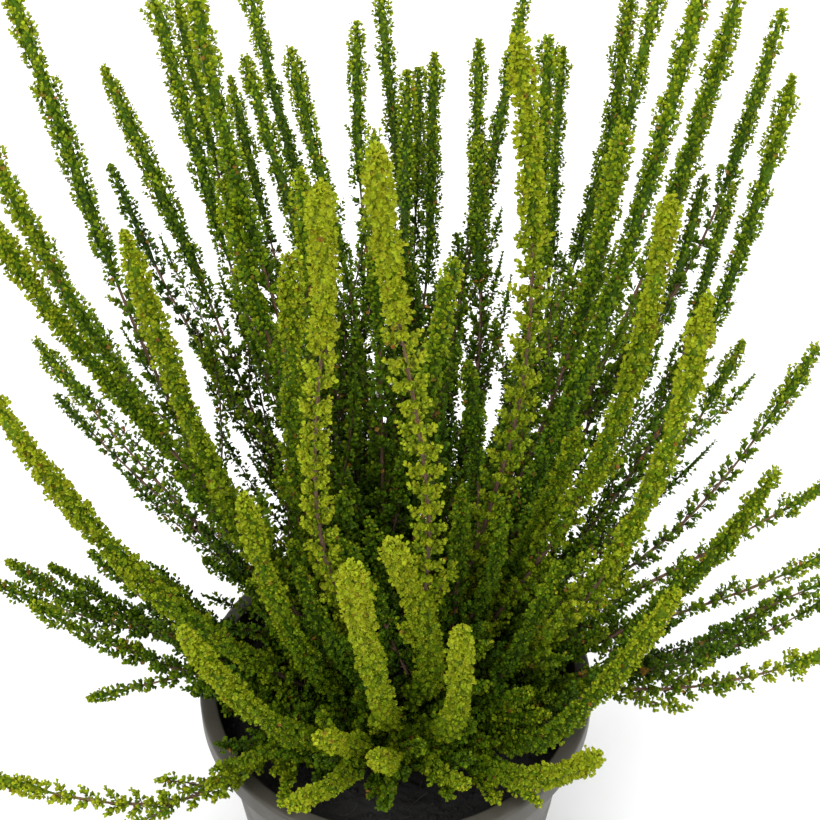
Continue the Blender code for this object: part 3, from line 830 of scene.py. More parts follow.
@dataclass(frozen=True)
class NurseryPot:
    """A thin tapered pot with a rolled rim, turned from its profile."""

    height: float = 115 * MM
    rim_radius: float = 70 * MM
    rim_width: float = 6 * MM
    rim_drop: float = 9 * MM
    base_radius: float = 52.5 * MM
    wall: float = 1.4 * MM
    floor: float = 1.6 * MM
    groove: float = 0.9 * MM
    drains: int = 8
    drain_radius: float = 4 * MM
    drain_circle: float = 40 * MM
    drain_sides: int = 28
    turns: int = 160
    sharp_above: float = 40.0
    finish: PlasticFinish = field(default_factory=PlasticFinish)

    def inner(self, height: float) -> float:
        """Inner radius of the tapered wall at this height."""
        low = self.base_radius - self.wall
        return low + (self.rim_radius - self.rim_width - low) * height / self.height

    def profile(self) -> Array:
        """Radius, height and rounding of each corner of the wall's section, from axis to axis.

        A shallow groove runs round the underside, just inside its edge.

        Returns:
            One row per corner.
        """
        base, rim, top, wall = self.base_radius, self.rim_radius, self.height, self.wall
        lip, rim_foot = top - wall, top - self.rim_drop
        return np.array([
            (0, 0, 0),
            (base - 6 * MM, 0, 0.3 * MM),
            (base - 4.6 * MM, self.groove, 0.4 * MM),
            (base - 3.4 * MM, self.groove, 0.4 * MM),
            (base - 2.4 * MM, 0, 0.4 * MM),
            (base, 0, 1.6 * MM),
            (self.inner(lip) + wall, lip, 0.4 * MM),
            (rim - wall, lip, 0.4 * MM),
            (rim - wall, rim_foot, 0.25 * MM),
            (rim, rim_foot, 0.4 * MM),
            (rim, top, 1.7 * MM),
            (rim - self.rim_width, top, 1.0 * MM),
            (self.inner(self.floor), self.floor, 1.8 * MM),
            (0, self.floor, 0),
        ])

    def rounded_profile(self, steps: int = 5) -> Array:
        """The section with each corner rounded.

        A corner becomes the curve (1-t)^2 a + 2 t (1-t) corner + t^2 b, where a and b lie on its two
        edges at the rounding's distance.

        Args:
            steps: Points on each rounding.

        Returns:
            Radius and height of each point.
        """
        rows = self.profile()
        corners, rounding = rows[:, :2], rows[:, 2]
        made = [corners[:1]]
        t = np.linspace(0, 1, steps)[:, None]
        for before, corner, after, size in zip(corners, corners[1:], corners[2:], rounding[1:]):
            one = corner + size * unit(before - corner)
            other = corner + size * unit(after - corner)
            made.append((1 - t) ** 2 * one + 2 * t * (1 - t) * corner + t**2 * other)
        made.append(corners[-1:])
        return np.concatenate(made)

    def build(self) -> None:
        """Turns the section about Z and cuts the drain holes."""
        radius, height = self.rounded_profile()[1:-1].T
        rings = turned(radius, height, self.turns)
        points = np.concatenate([rings.reshape(-1, 3), [(0, 0, 0), (0, 0, self.floor)]])
        mesh = make_mesh("moulded_pot", points, wrapped(len(radius), self.turns))
        piece = place("moulded_pot", mesh, self.finish.build(), "pot", "pot")
        self.cut_drains(piece)
        mesh.set_sharp_from_angle(angle=math.radians(self.sharp_above))

    def cut_drains(self, piece: bpy.types.Object) -> None:
        """Cuts the ring of round drain holes through the floor.

        Args:
            piece: The pot's piece.
        """
        size = {"radius1": self.drain_radius, "radius2": self.drain_radius, "depth": 8 * MM}
        shape = bmesh.new()
        for turn in np.arange(self.drains) * math.tau / self.drains:
            hole = bmesh.ops.create_cone(shape, cap_ends=True, segments=self.drain_sides, **size)
            where = (self.drain_circle * math.cos(turn), self.drain_circle * math.sin(turn), self.floor / 2)
            bmesh.ops.translate(shape, verts=hole["verts"], vec=where)
        mesh = bpy.data.meshes.new("drain_holes")
        shape.to_mesh(mesh)
        shape.free()
        cutter = bpy.data.objects.new("drain_holes", mesh)
        bpy.context.scene.collection.objects.link(cutter)
        cut = piece.modifiers.new("drains", "BOOLEAN")
        cut.operation, cut.solver, cut.object = "DIFFERENCE", "EXACT", cutter
        bpy.context.view_layer.objects.active = piece
        bpy.ops.object.modifier_apply(modifier=cut.name)
        bpy.data.objects.remove(cutter)


# The soil


@dataclass(frozen=True)
class PottingSoil:
    """A plug of soil with a rough crumbly top, loose crumbs and short fibres."""

    pot: NurseryPot
    top: float = 103 * MM
    gap: float = 0.3 * MM
    relief: float = 1.1 * MM
    settled: float = 0.4 * MM
    rings: int = 60
    spokes: int = 190
    foot_bevel: float = 2 * MM
    crumbs: int = 760
    pale_crumbs: float = 0.03
    fibres: int = 150
    seed: int = 4
    relief_seed: int = 8
    finish: SoilFinish = field(default_factory=SoilFinish)

    @property
    def edge(self) -> float:
        """Radius of the top."""
        return self.pot.inner(self.top) - self.gap

    def surface(self, x: Array, y: Array) -> Array:
        """Height of the top: broad swells, middling lumps and fine grain, level at the wall.

        Args:
            x: Where the points lie across.
            y: Where they lie from front to back.

        Returns:
            One height per point.
        """
        chance = np.random.default_rng(self.relief_seed)
        flat = np.stack([x, y, np.zeros_like(x)], axis=1)
        fade = np.sqrt(np.clip(1.02 - np.hypot(x, y) / self.edge, 0, 1))
        swell = 0.9 * ripples(flat, 30 * MM, chance) + 0.55 * ripples(flat, 8 * MM, chance)
        grain = 0.40 * ripples(flat, 2.6 * MM, chance, 60)
        return self.top + self.relief * (swell * fade + grain * np.minimum(1, 3 * fade)) - self.settled

    def build(self) -> None:
        """Joins the plug, the crumbs and the fibres in one piece."""
        chance = np.random.default_rng(self.seed)
        soil = Part.gather([self.plug(), self.lumps(chance), *self.strands(chance)])
        place("potting_soil", soil.mesh("potting_soil", "soil_tone"), self.finish.build(), "soil", "soil")

    def plug(self) -> Part:
        """The closed plug: rings from the middle of its top, out, down the wall and in again.

        Returns:
            The plug.
        """
        low = self.pot.floor + self.gap
        bevel = self.foot_bevel
        foot = self.pot.inner(low + bevel) - self.gap
        share = (np.arange(1, self.rings + 1) / self.rings) ** 0.85
        radius = np.concatenate([self.edge * share, [foot, foot - bevel]])
        height = np.concatenate([np.full(self.rings, self.top), [low + bevel, low]])
        rings = turned(radius, height, self.spokes)
        top = rings[:self.rings]
        top[..., 2] = self.surface(top[..., 0].ravel(), top[..., 1].ravel()).reshape(self.rings, -1)
        points = np.concatenate([rings.reshape(-1, 3), [(0, 0, rings[0, :, 2].mean()), (0, 0, low)]])
        quads, ends = wrapped(len(radius), self.spokes)
        return Part(points, [quads[:, [0, 3, 2, 1]], ends[:, [0, 2, 1]]], np.zeros(len(points)))

    def lumps(self, chance: np.random.Generator) -> Part:
        """Loose crumbs: small balls of 20 faces, pressed and roughened at random.

        Their sizes in mm are e to the power of a normal draw round -0.25, held from 0.35 to 2.

        Args:
            chance: Source of the random draws.

        Returns:
            The crumbs.
        """
        ball = bmesh.new()
        bmesh.ops.create_icosphere(ball, subdivisions=1, radius=1)
        shape = np.array([corner.co[:] for corner in ball.verts])
        faces = np.array([[corner.index for corner in face.verts] for face in ball.faces])
        ball.free()
        count = self.crumbs
        out = (self.edge - 2.5 * MM) * np.sqrt(chance.uniform(0, 1, count))
        turn = chance.uniform(0, math.tau, count)
        x, y = out * np.cos(turn), out * np.sin(turn)
        size = MM * np.exp(chance.normal(-0.25, 0.45, count)).clip(0.35, 2.0)
        rough = 1 + chance.uniform(-0.32, 0.32, (count, len(shape), 1))
        press = chance.uniform([0.7, 0.7, 0.45], [1.25, 1.25, 0.85], (count, 3))
        points = shape[None] * rough * press[:, None] * size[:, None, None]
        points = points + np.stack([x, y, self.surface(x, y) + 0.25 * size], axis=1)[:, None]
        numbers = faces[None] + len(shape) * np.arange(count)[:, None, None]
        chosen = chance.uniform(size=count) < self.pale_crumbs
        pale = np.where(chosen, chance.uniform(0.2, 0.7, count), 0.0)
        return Part(points.reshape(-1, 3), [numbers.reshape(-1, 3)], np.repeat(pale, len(shape)))

    def strands(self, chance: np.random.Generator) -> list[Part]:
        """Short peat fibres that lie on the crumbs, each a thin bent tube.

        A fibre's middle stays on its line, and t from it the fibre lies 4 t^2 of its bend aside.

        Args:
            chance: Source of the random draws.

        Returns:
            One part per fibre.
        """
        parts = []
        t = np.linspace(-0.5, 0.5, 7)[:, None]
        for _ in range(self.fibres):
            out = (self.edge - 9 * MM) * math.sqrt(chance.uniform())
            turn, way = chance.uniform(0, math.tau, 2)
            length = MM * chance.uniform(4, 13)
            along, aside = direction(math.degrees(way), 90), direction(math.degrees(way) + 90, 90)
            middle = np.array([out * math.cos(turn), out * math.sin(turn), 0])
            line = middle + t * length * along + chance.normal(0, 0.16) * length * (4 * t**2) * aside
            line[:, 2] = self.surface(line[:, 0], line[:, 1]).max() + 0.1 * MM
            line[:, 2] += (chance.uniform(0, 1.6) * t[:, 0] ** 2 * 4 - 0.4) * MM
            radii = np.full(len(line), MM * chance.uniform(0.07, 0.17))
            points, *faces = tube(line, radii, 4, np.array([0, 0, 1.0]))
            parts.append(Part(points, faces, np.full(len(points), chance.uniform(0.15, 0.9))))
        return parts


# Growth of the shoots


@dataclass(frozen=True)
class GrowthRules:
    """Sizes and limits that the solids were grown by, and that tell kinds of shoot apart."""

    soil_top: float = PottingSoil.top
    pot_height: float = NurseryPot.height
    rim_radius: float = NurseryPot.rim_radius
    rim_width: float = NurseryPot.rim_width
    stem_radius: float = 1.3 * MM
    stub: float = 3 * MM
    hole_depth: float = 8 * MM
    gap: float = PottingSoil.gap
    crown_radius: float = 34 * MM
    crown_power: float = 0.8
    root_spacing: float = 5.6 * MM
    root_rounds: int = 200
    root_push: float = 0.4
    most_start_lean: float = 68.0
    joint_ahead: float = 4 * MM
    step: float = 6 * MM
    rounds: int = 90
    same_neighbours: int = 6
    stiffness: float = 0.5
    joint_reach: float = 0.7
    spare: float = 1.0 * MM
    least_room: float = 2.2 * MM
    look_ahead: float = 4 * MM
    pinned: float = 15 * MM
    rim_clear: float = 6 * MM
    rim_approach: float = 28 * MM
    foot_rise: float = 14 * MM
    foot_share: float = 0.25
    tip_round: float = 12 * MM
    tip_blunt: float = 2 * MM
    bare_share: float = 0.1
    least_bare: float = 8 * MM
    most_bare: float = 26 * MM
    tall_lean: float = 15.0
    low_lean: float = 58.0
    short_below: float = 70 * MM
    small_below: float = 130 * MM
    behind_from: float = 20 * MM
    back_from: float = 40 * MM


RULES = GrowthRules()


@dataclass
class Shoot:
    """One leafy shoot: its centreline, its girth, its stem and, for a side shoot, its parent."""

    stem: int
    girth: Girth
    lean: float
    path: Array
    leaves: float = 0.0
    parent: "Shoot | None" = None

    @classmethod
    def grow(
        cls, stem: int, row: tuple, root: Array | None = None, parent: "Shoot | None" = None
    ) -> "Shoot":
        """Lays a shoot's first centreline from its row of the table.

        Args:
            stem: Number of its stem.
            row: Its row of the table.
            root: Where a main shoot leaves the soil, in plan.
            parent: The main shoot that a side shoot leaves.

        Returns:
            The shoot.
        """
        azimuth, lean, reach, girth, sway, bow, *leaves = row
        share = leaves[0] if leaves else 0.0
        tip = np.array([0, 0, RULES.soil_top]) + reach * MM * direction(azimuth, lean)
        sideways = sway * MM * direction(azimuth + 90, 90)
        if parent is None:
            start = np.array([*root, RULES.soil_top + RULES.stub])
            leaving = direction(azimuth, min(lean + bow, RULES.most_start_lean))
        else:
            joint = share * lengths_along(parent.path)[-1]
            start, ahead = points_at(parent.path, np.array([joint, joint + RULES.joint_ahead]))
            leaving = unit(unit(ahead - start) + unit(tip - start))
        path = arch(start, leaving, tip, direction(azimuth, lean - bow), sideways)
        return cls(stem, girth, lean, evenly(path, RULES.step), share, parent)

    @property
    def tip(self) -> Array:
        """Last point of the centreline."""
        return self.path[-1]

    @property
    def wide(self) -> bool:
        """Whether it is one of the thick young shoots, most of which stand at the front."""
        return self.girth in (FULL, STOUT)

    @property
    def tall(self) -> bool:
        """Whether it is a thick shoot that stands nearly upright."""
        return self.wide and self.lean < RULES.tall_lean

    @property
    def low(self) -> bool:
        """Whether it lies low, out over the rim."""
        return self.lean > RULES.low_lean

    @property
    def small(self) -> bool:
        """Whether it is one of the short slim shoots of the middle, in the others' shade."""
        return not self.wide and self.length() < RULES.small_below

    @property
    def behind_middle(self) -> bool:
        """Whether its tip lies behind the plant's middle."""
        return self.tip[1] > RULES.behind_from

    @property
    def at_back(self) -> bool:
        """Whether its tip lies well back."""
        return self.tip[1] > RULES.back_from

    def length(self) -> float:
        """Length of the centreline."""
        return float(lengths_along(self.path)[-1])

    def foot(self) -> Array:
        """Where a side shoot leaves its parent."""
        return points_at(self.parent.path, self.leaves * lengths_along(self.parent.path)[-1:])[0]

    def bare(self) -> float:
        """Length without leaves at the foot of the shoot."""
        least = 0.0 if self.parent else RULES.least_bare
        return max(least, min(RULES.most_bare, RULES.bare_share * self.length()))

    def leafy_radius(self, along: Array) -> Array:
        """Reach of the leaves from the centreline, at these distances from the shoot's foot.

        Args:
            along: The distances.

        Returns:
            One reach per distance.
        """
        risen = smoothstep((along - self.bare()) / RULES.foot_rise)
        rise = RULES.foot_share + (1 - RULES.foot_share) * risen
        blunt = np.sqrt(np.clip((self.length() - along + RULES.tip_blunt) / RULES.tip_round, 0, 1))
        return np.maximum(RULES.stem_radius, 0.5 * MM * self.girth.value * np.minimum(blunt, rise))


def spread_roots() -> Array:
    """Where each stem leaves the soil: outwards with its lean, then pushed apart to the spacing.

    Returns:
        One row per stem.
    """
    roots = np.array([
        RULES.crown_radius * (lean / 90) ** RULES.crown_power * direction(azimuth, 90)[:2]
        for azimuth, lean, *_ in (stem[0] for stem in STEMS)
    ])
    for _ in range(RULES.root_rounds):
        apart = roots[:, None] - roots[None]
        distance = np.linalg.norm(apart, axis=2) + np.eye(len(roots))
        short = np.clip(RULES.root_spacing - distance, 0, None) * (1 - np.eye(len(roots)))
        roots += RULES.root_push * (short[:, :, None] * apart / distance[:, :, None]).sum(axis=1)
    return roots


class Crowd:
    """All the shoots' points together, with what each needs to keep clear of the others."""

    def __init__(self, shoots: list[Shoot]) -> None:
        """Gathers the shoots' points.

        Args:
            shoots: All the shoots.
        """
        self.points: Array = np.concatenate([shoot.path for shoot in shoots])
        along = [lengths_along(shoot.path) for shoot in shoots]
        radius = np.concatenate([s.leafy_radius(at) for s, at in zip(shoots, along)])
        self.radius: Array = np.maximum(radius, RULES.least_room)
        self.stem: Array = np.concatenate([np.full(len(s.path), s.stem) for s in shoots])
        ends = np.cumsum([len(shoot.path) for shoot in shoots])
        self.parts: list[slice] = [slice(end - len(s.path), end) for s, end in zip(shoots, ends)]
        self.free: Array = smoothstep(np.concatenate(along) / RULES.pinned)
        self.one: Array = np.zeros(0, dtype=int)
        self.other: Array = np.zeros(0, dtype=int)

    def find_neighbours(self) -> None:
        """Finds pairs of points of different stems that are close, or soon could be."""
        square = (self.points**2).sum(axis=1)
        distance = square[:, None] + square[None] - 2 * self.points @ self.points.T
        within = self.radius[:, None] + self.radius[None] + RULES.spare + RULES.look_ahead
        self.one, self.other = np.nonzero((distance < within**2) & (self.stem[:, None] < self.stem[None]))

    def push(self) -> Array:
        """How far each point has to move for its leaves to clear those of the other stems.

        Returns:
            One row per point.
        """
        apart = self.points[self.one] - self.points[self.other]
        far = np.maximum(np.linalg.norm(apart, axis=1), 0.01 * MM)
        short = np.clip(self.radius[self.one] + self.radius[self.other] + RULES.spare - far, 0, None)
        half = (0.5 * short / far)[:, None] * apart
        moved = np.zeros_like(self.points)
        np.add.at(moved, self.one, half)
        np.add.at(moved, self.other, -half)
        touched = (short > 0).astype(float)
        hits = np.bincount(self.one, touched, len(moved)) + np.bincount(self.other, touched, len(moved))
        return moved / np.sqrt(np.maximum(hits, 1))[:, None]


def lift_clear(points: Array, radius: Array) -> Array:
    """Lifts points that would touch the soil or the pot's rim.

    Args:
        points: The points.
        radius: Reach of the leaves at each.

    Returns:
        The points, lifted where they need it.
    """
    out = np.hypot(points[:, 0], points[:, 1])
    entered = out - RULES.rim_radius + RULES.rim_approach
    nearing = smoothstep(entered / (RULES.rim_approach - RULES.rim_width))
    over_rim = np.where(out < RULES.rim_radius + RULES.rim_clear, nearing, 0)
    floor = RULES.soil_top + RULES.stub + 0.5 * radius
    lowest = floor + (RULES.pot_height + RULES.rim_clear - floor) * over_rim
    lifted = points.copy()
    lifted[:, 2] = np.maximum(points[:, 2], lowest)
    return lifted


def bend_clear(shoots: list[Shoot]) -> None:
    """Bends the shoots apart, so that none crosses another stem's, the soil or the rim.

    Args:
        shoots: All the shoots, whose paths change.
    """
    crowd = Crowd(shoots)
    for turn in range(RULES.rounds):
        if turn % RULES.same_neighbours == 0:
            crowd.find_neighbours()
        push = crowd.push()
        for shoot, part in zip(shoots, crowd.parts):
            free = crowd.free[part][:, None]
            moved = shoot.path + smooth_along(push[part], 3) * free
            lifted = lift_clear(moved, crowd.radius[part])
            moved += smooth_along(lifted - moved, 2)
            moved += RULES.stiffness * free * (smooth_along(moved, 1) - moved)
            if shoot.parent:
                along = lengths_along(moved)
                share = along / (RULES.joint_reach * along[-1])
                moved += (shoot.foot() - moved[0]) * (1 - smoothstep(share))[:, None]
            shoot.path = moved
            crowd.points[part] = moved


def grow_shoots() -> list[Shoot]:
    """Every shoot of every stem, bent clear of the others, main shoots before their side shoots.

    Returns:
        The shoots.
    """
    shoots: list[Shoot] = []
    for stem, (rows, root) in enumerate(zip(STEMS, spread_roots())):
        main_shoot = Shoot.grow(stem, rows[0], root=root)
        shoots.append(main_shoot)
        shoots += [Shoot.grow(stem, row, parent=main_shoot) for row in rows[1:]]
    bend_clear(shoots)
    return shoots


# Leaves and wood


@dataclass
class Sprigs:
    """Many short leafy twiglets at once, one row each.

    Attributes:
        origin: Where each leaves its shoot.
        leaving: Its direction there.
        ending: Its direction at its end.
        length: Its length.
        first: Share of its length where its leaves begin.
        youth: How young it is, with painted light and shade; 0 for an old shaded one, 1 for a young one in
            the light.
        leaf: Factor on the size of its leaves.
        plump: Radius of the tight green middle under its leaves, or 0.
        stalk: Radius of its bare stalk at its foot, or 0 where leaves hide it.
        dry: 1 for a dead brown one, else 0.
    """

    origin: Array
    leaving: Array
    ending: Array
    length: Array
    first: Array
    youth: Array
    leaf: Array
    plump: Array
    stalk: Array
    dry: Array

    @classmethod
    def of(cls, origin: Array, leaving: Array, ending: Array, **values: Array | float) -> "Sprigs":
        """Twiglets from their courses and their other values, one number standing for all rows.

        Args:
            origin: Where each leaves its shoot.
            leaving: Its direction there.
            ending: Its direction at its end.
            values: The other values by name.

        Returns:
            The twiglets.
        """
        values = {"leaf": 1.0, "plump": 0.0, "stalk": 0.0, "dry": 0.0, **values}
        rows = {
            name: np.broadcast_to(np.asarray(value, float), len(origin)) for name, value in values.items()
        }
        return cls(origin, leaving, ending, **rows)

    @classmethod
    def gather(cls, groups: list["Sprigs"]) -> "Sprigs":
        """All the groups' rows in one."""
        columns = ([getattr(group, part.name) for group in groups] for part in fields(cls))
        return cls(*(np.concatenate(column) for column in columns))

    def at(self, rows: Array, share: Array) -> tuple[Array, Array]:
        """Points and directions on the twiglets of these rows at these shares of their length.

        The direction turns evenly from leaving to ending, so the point is the origin plus
        length * ((t - t^2/2) leaving + t^2/2 ending).

        Args:
            rows: Which twiglets.
            share: Share t of the length on each.

        Returns:
            Points and directions.
        """
        t = share[:, None]
        start, end, length = self.leaving[rows], self.ending[rows], self.length[rows][:, None]
        points = self.origin[rows] + length * ((t - t**2 / 2) * start + t**2 / 2 * end)
        return points, unit((1 - t) * start + t * end)


@dataclass(frozen=True)
class Clothing:
    """Leafy surface: points, triangles, and for each point how young it is with painted light and shade, its
    random draw and its dryness.
    """

    points: Array
    faces: Array
    youth: Array
    draw: Array
    dryness: Array

    @classmethod
    def gather(cls, groups: list["Clothing"]) -> "Clothing":
        """All the groups in one, with their point numbers moved on.

        Args:
            groups: The groups.

        Returns:
            The one group.
        """
        starts = np.cumsum([0] + [len(group.points) for group in groups])
        points = np.concatenate([group.points for group in groups])
        faces = np.concatenate([group.faces + start for group, start in zip(groups, starts)])
        tones = ([getattr(group, name) for group in groups] for name in ("youth", "draw", "dryness"))
        return cls(points, faces, *(np.concatenate(tone) for tone in tones))


class LeafShape(Enum):
    """Corners and triangles of one blunt leaf.

    A corner's numbers are shares of the leaf's length, of its width, and of its width again out
    towards the keel. A plump leaf has its keel's highest point as a fifth corner. A folded one,
    for where leaves are small in view, is two triangles that meet on the keel.
    """

    PLUMP = (
        ((0, 0, 0), (0.72, 0.5, 0.02), (1, 0, 0.14), (0.72, -0.5, 0.02), (0.64, 0, 0.58)),
        ((0, 4, 1), (1, 4, 2), (2, 4, 3), (3, 4, 0)),
    )
    FOLDED = (
        ((0, 0, 0.05), (0.74, 0.52, -0.08), (1, 0, 0.20), (0.74, -0.52, -0.08)),
        ((0, 2, 1), (0, 3, 2)),
    )

    @property
    def corners(self) -> Array:
        """One row per corner."""
        return np.array(self.value[0], float)

    @property
    def faces(self) -> Array:
        """One row of corner numbers per triangle."""
        return np.array(self.value[1])


@dataclass(frozen=True)
class Foliage:
    """Clothes twiglets in opposite pairs of leaves, each pair turned a quarter.

    A leaf leans out from its twiglet by spread_low degrees at the twiglet's foot, falling to
    spread_tip at its end, and the last leaves are a quarter smaller. Some leaves are withered,
    most of them low on their twiglet.
    """

    pair_spacing: float = 1.25 * MM
    leaf_length: float = 2.20 * MM
    leaf_width: float = 1.80 * MM
    spread_low: float = 50.0
    spread_tip: float = 18.0
    last_pair: float = 0.94
    smaller_tip: float = 0.26
    withered_low: float = 0.035
    withered_high: float = 0.001
    shape: LeafShape = LeafShape.PLUMP

    def clothe(self, sprigs: Sprigs, chance: np.random.Generator) -> Clothing:
        """Every leaf of these twiglets.

        Args:
            sprigs: The twiglets.
            chance: Source of the random draws.

        Returns:
            The leaves and the green middles.
        """
        leafy = sprigs.length * (1 - sprigs.first)
        pairs = np.maximum(2, np.round(leafy / self.pair_spacing).astype(int) + 1)
        row = np.repeat(np.arange(len(pairs)), pairs)
        step = np.arange(len(row)) - np.repeat(np.cumsum(pairs) - pairs, pairs)
        toward_tip = step / np.repeat(pairs - 1, pairs)
        share = sprigs.first[row] + (1 - sprigs.first[row]) * toward_tip * self.last_pair
        points, ways = sprigs.at(row, share)
        roll = chance.uniform(0, math.pi, len(pairs))[row] + step * math.pi / 2
        roll = roll + chance.normal(0, 0.16, len(row))
        side = unit(np.cross(ways, unit(chance.normal(size=(len(pairs), 3)))[row]))
        across = np.cross(ways, side)
        out = np.cos(roll)[:, None] * side + np.sin(roll)[:, None] * across
        # Both leaves of each pair
        row, toward_tip = np.tile(row, 2), np.tile(toward_tip, 2)
        points, ways = np.tile(points, (2, 1)), np.tile(ways, (2, 1))
        out = np.concatenate([out, -out])
        count = len(row)
        spread = np.radians(self.spread_low + (self.spread_tip - self.spread_low) * toward_tip**1.2)
        spread = (spread + chance.normal(0, 0.12, count))[:, None]
        along = np.cos(spread) * ways + np.sin(spread) * out
        keel = np.cos(spread) * out - np.sin(spread) * ways
        breadth = np.cross(keel, along)
        smaller = 1 - self.smaller_tip * toward_tip**2
        size = sprigs.leaf[row] * smaller * chance.uniform(0.82, 1.14, count)
        length, width = self.leaf_length * size, self.leaf_width * size
        shape = self.shape.corners
        corners = points[:, None] + (
            (length[:, None] * shape[:, 0])[:, :, None] * along[:, None]
            + (width[:, None] * shape[:, 1])[:, :, None] * breadth[:, None]
            + (width[:, None] * shape[:, 2])[:, :, None] * keel[:, None]
        )
        faces = self.shape.faces[None] + len(shape) * np.arange(count)[:, None, None]
        # Painted shade: darker towards the twiglet's foot and each leaf's base, as in the gaps between the
        # bumps, lighter towards their tips
        youth = (sprigs.youth[row] + 0.26 * (toward_tip - 0.5))[:, None]
        youth = youth + 0.30 * (shape[:, 0] - 0.58)[None]
        draw = np.repeat(chance.uniform(0, 1, count), len(shape))
        often = np.where(toward_tip < 0.2, self.withered_low, self.withered_high)
        withered = chance.uniform(0, 1, count) < often
        dry = np.maximum(sprigs.dry[row], withered) * chance.uniform(0.5, 1, count)
        leaves = Clothing(
            corners.reshape(-1, 3), faces.reshape(-1, 3), youth.ravel(), draw, np.repeat(dry, len(shape))
        )
        return Clothing.gather([leaves, self.middles(sprigs)])

    def middles(self, sprigs: Sprigs) -> Clothing:
        """A three-sided spindle in each plump twiglet, which closes the gaps between its leaves, painted a
        little darker as shade.

        Args:
            sprigs: The twiglets.

        Returns:
            The spindles.
        """
        rows = np.flatnonzero(sprigs.plump > 0)
        foot, _ = sprigs.at(rows, sprigs.first[rows])
        belly, way = sprigs.at(rows, sprigs.first[rows] + 0.6 * (1 - sprigs.first[rows]))
        tip, _ = sprigs.at(rows, 1 + 0.4 * MM / sprigs.length[rows])
        points = np.stack([foot, *three_round(belly, way, sprigs.plump[rows]), tip], axis=1)
        shape = np.array([(0, 2, 1), (0, 3, 2), (0, 1, 3), (4, 1, 2), (4, 2, 3), (4, 3, 1)])
        faces = shape[None] + 5 * np.arange(len(rows))[:, None, None]
        # Painted shade: 0.12 darker than the twiglet's leaves.
        youth, dryness = np.repeat(sprigs.youth[rows] - 0.12, 5), np.repeat(sprigs.dry[rows], 5)
        draw = np.full(len(youth), 0.4)
        return Clothing(points.reshape(-1, 3), faces.reshape(-1, 3), youth, draw, dryness)


@dataclass(frozen=True)
class Stations:
    """Places along a shoot, each with its point and its directions.

    Attributes:
        at: Distances from the shoot's foot.
        centres: Points of the centreline.
        ways: Directions of the shoot.
        sides: Directions across it, carried along without twisting.
        across: Directions at right angles to both.
    """

    at: Array
    centres: Array
    ways: Array
    sides: Array
    across: Array

    @classmethod
    def along(cls, shoot: Shoot, at: Array, chance: np.random.Generator) -> "Stations":
        """Stations at these distances, with the carried directions started at random.

        Args:
            shoot: The shoot.
            at: The distances.
            chance: Source of the random draws.

        Returns:
            The stations.
        """
        ahead = points_at(shoot.path, np.minimum(at + MM, shoot.length()))
        behind = points_at(shoot.path, np.maximum(at - MM, 0))
        ways = unit(ahead - behind)
        return cls(at, points_at(shoot.path, at), ways, *carried_frames(ways, chance.normal(size=3)))

    def outward(self, turn: Array) -> Array:
        """Directions across the shoot at these angles round it: cos(turn) side + sin(turn) across."""
        return np.cos(turn)[:, None] * self.sides + np.sin(turn)[:, None] * self.across


@dataclass(frozen=True)
class TwigRule:
    """Side twigs along a shoot: the distance between them, and their least and greatest length."""

    spacing: float
    lengths: tuple[float, float]


@dataclass(frozen=True)
class FootRule:
    """Young twigs round a stem's foot: how many, and ranges to draw from.

    Attributes:
        count: How many twigs.
        lengths: Their lengths in mm.
        leaving: Their leans in degrees where they leave the stem.
        ending: Their leans in degrees at their ends.
    """

    count: int
    lengths: tuple[float, float]
    leaving: tuple[float, float]
    ending: tuple[float, float]


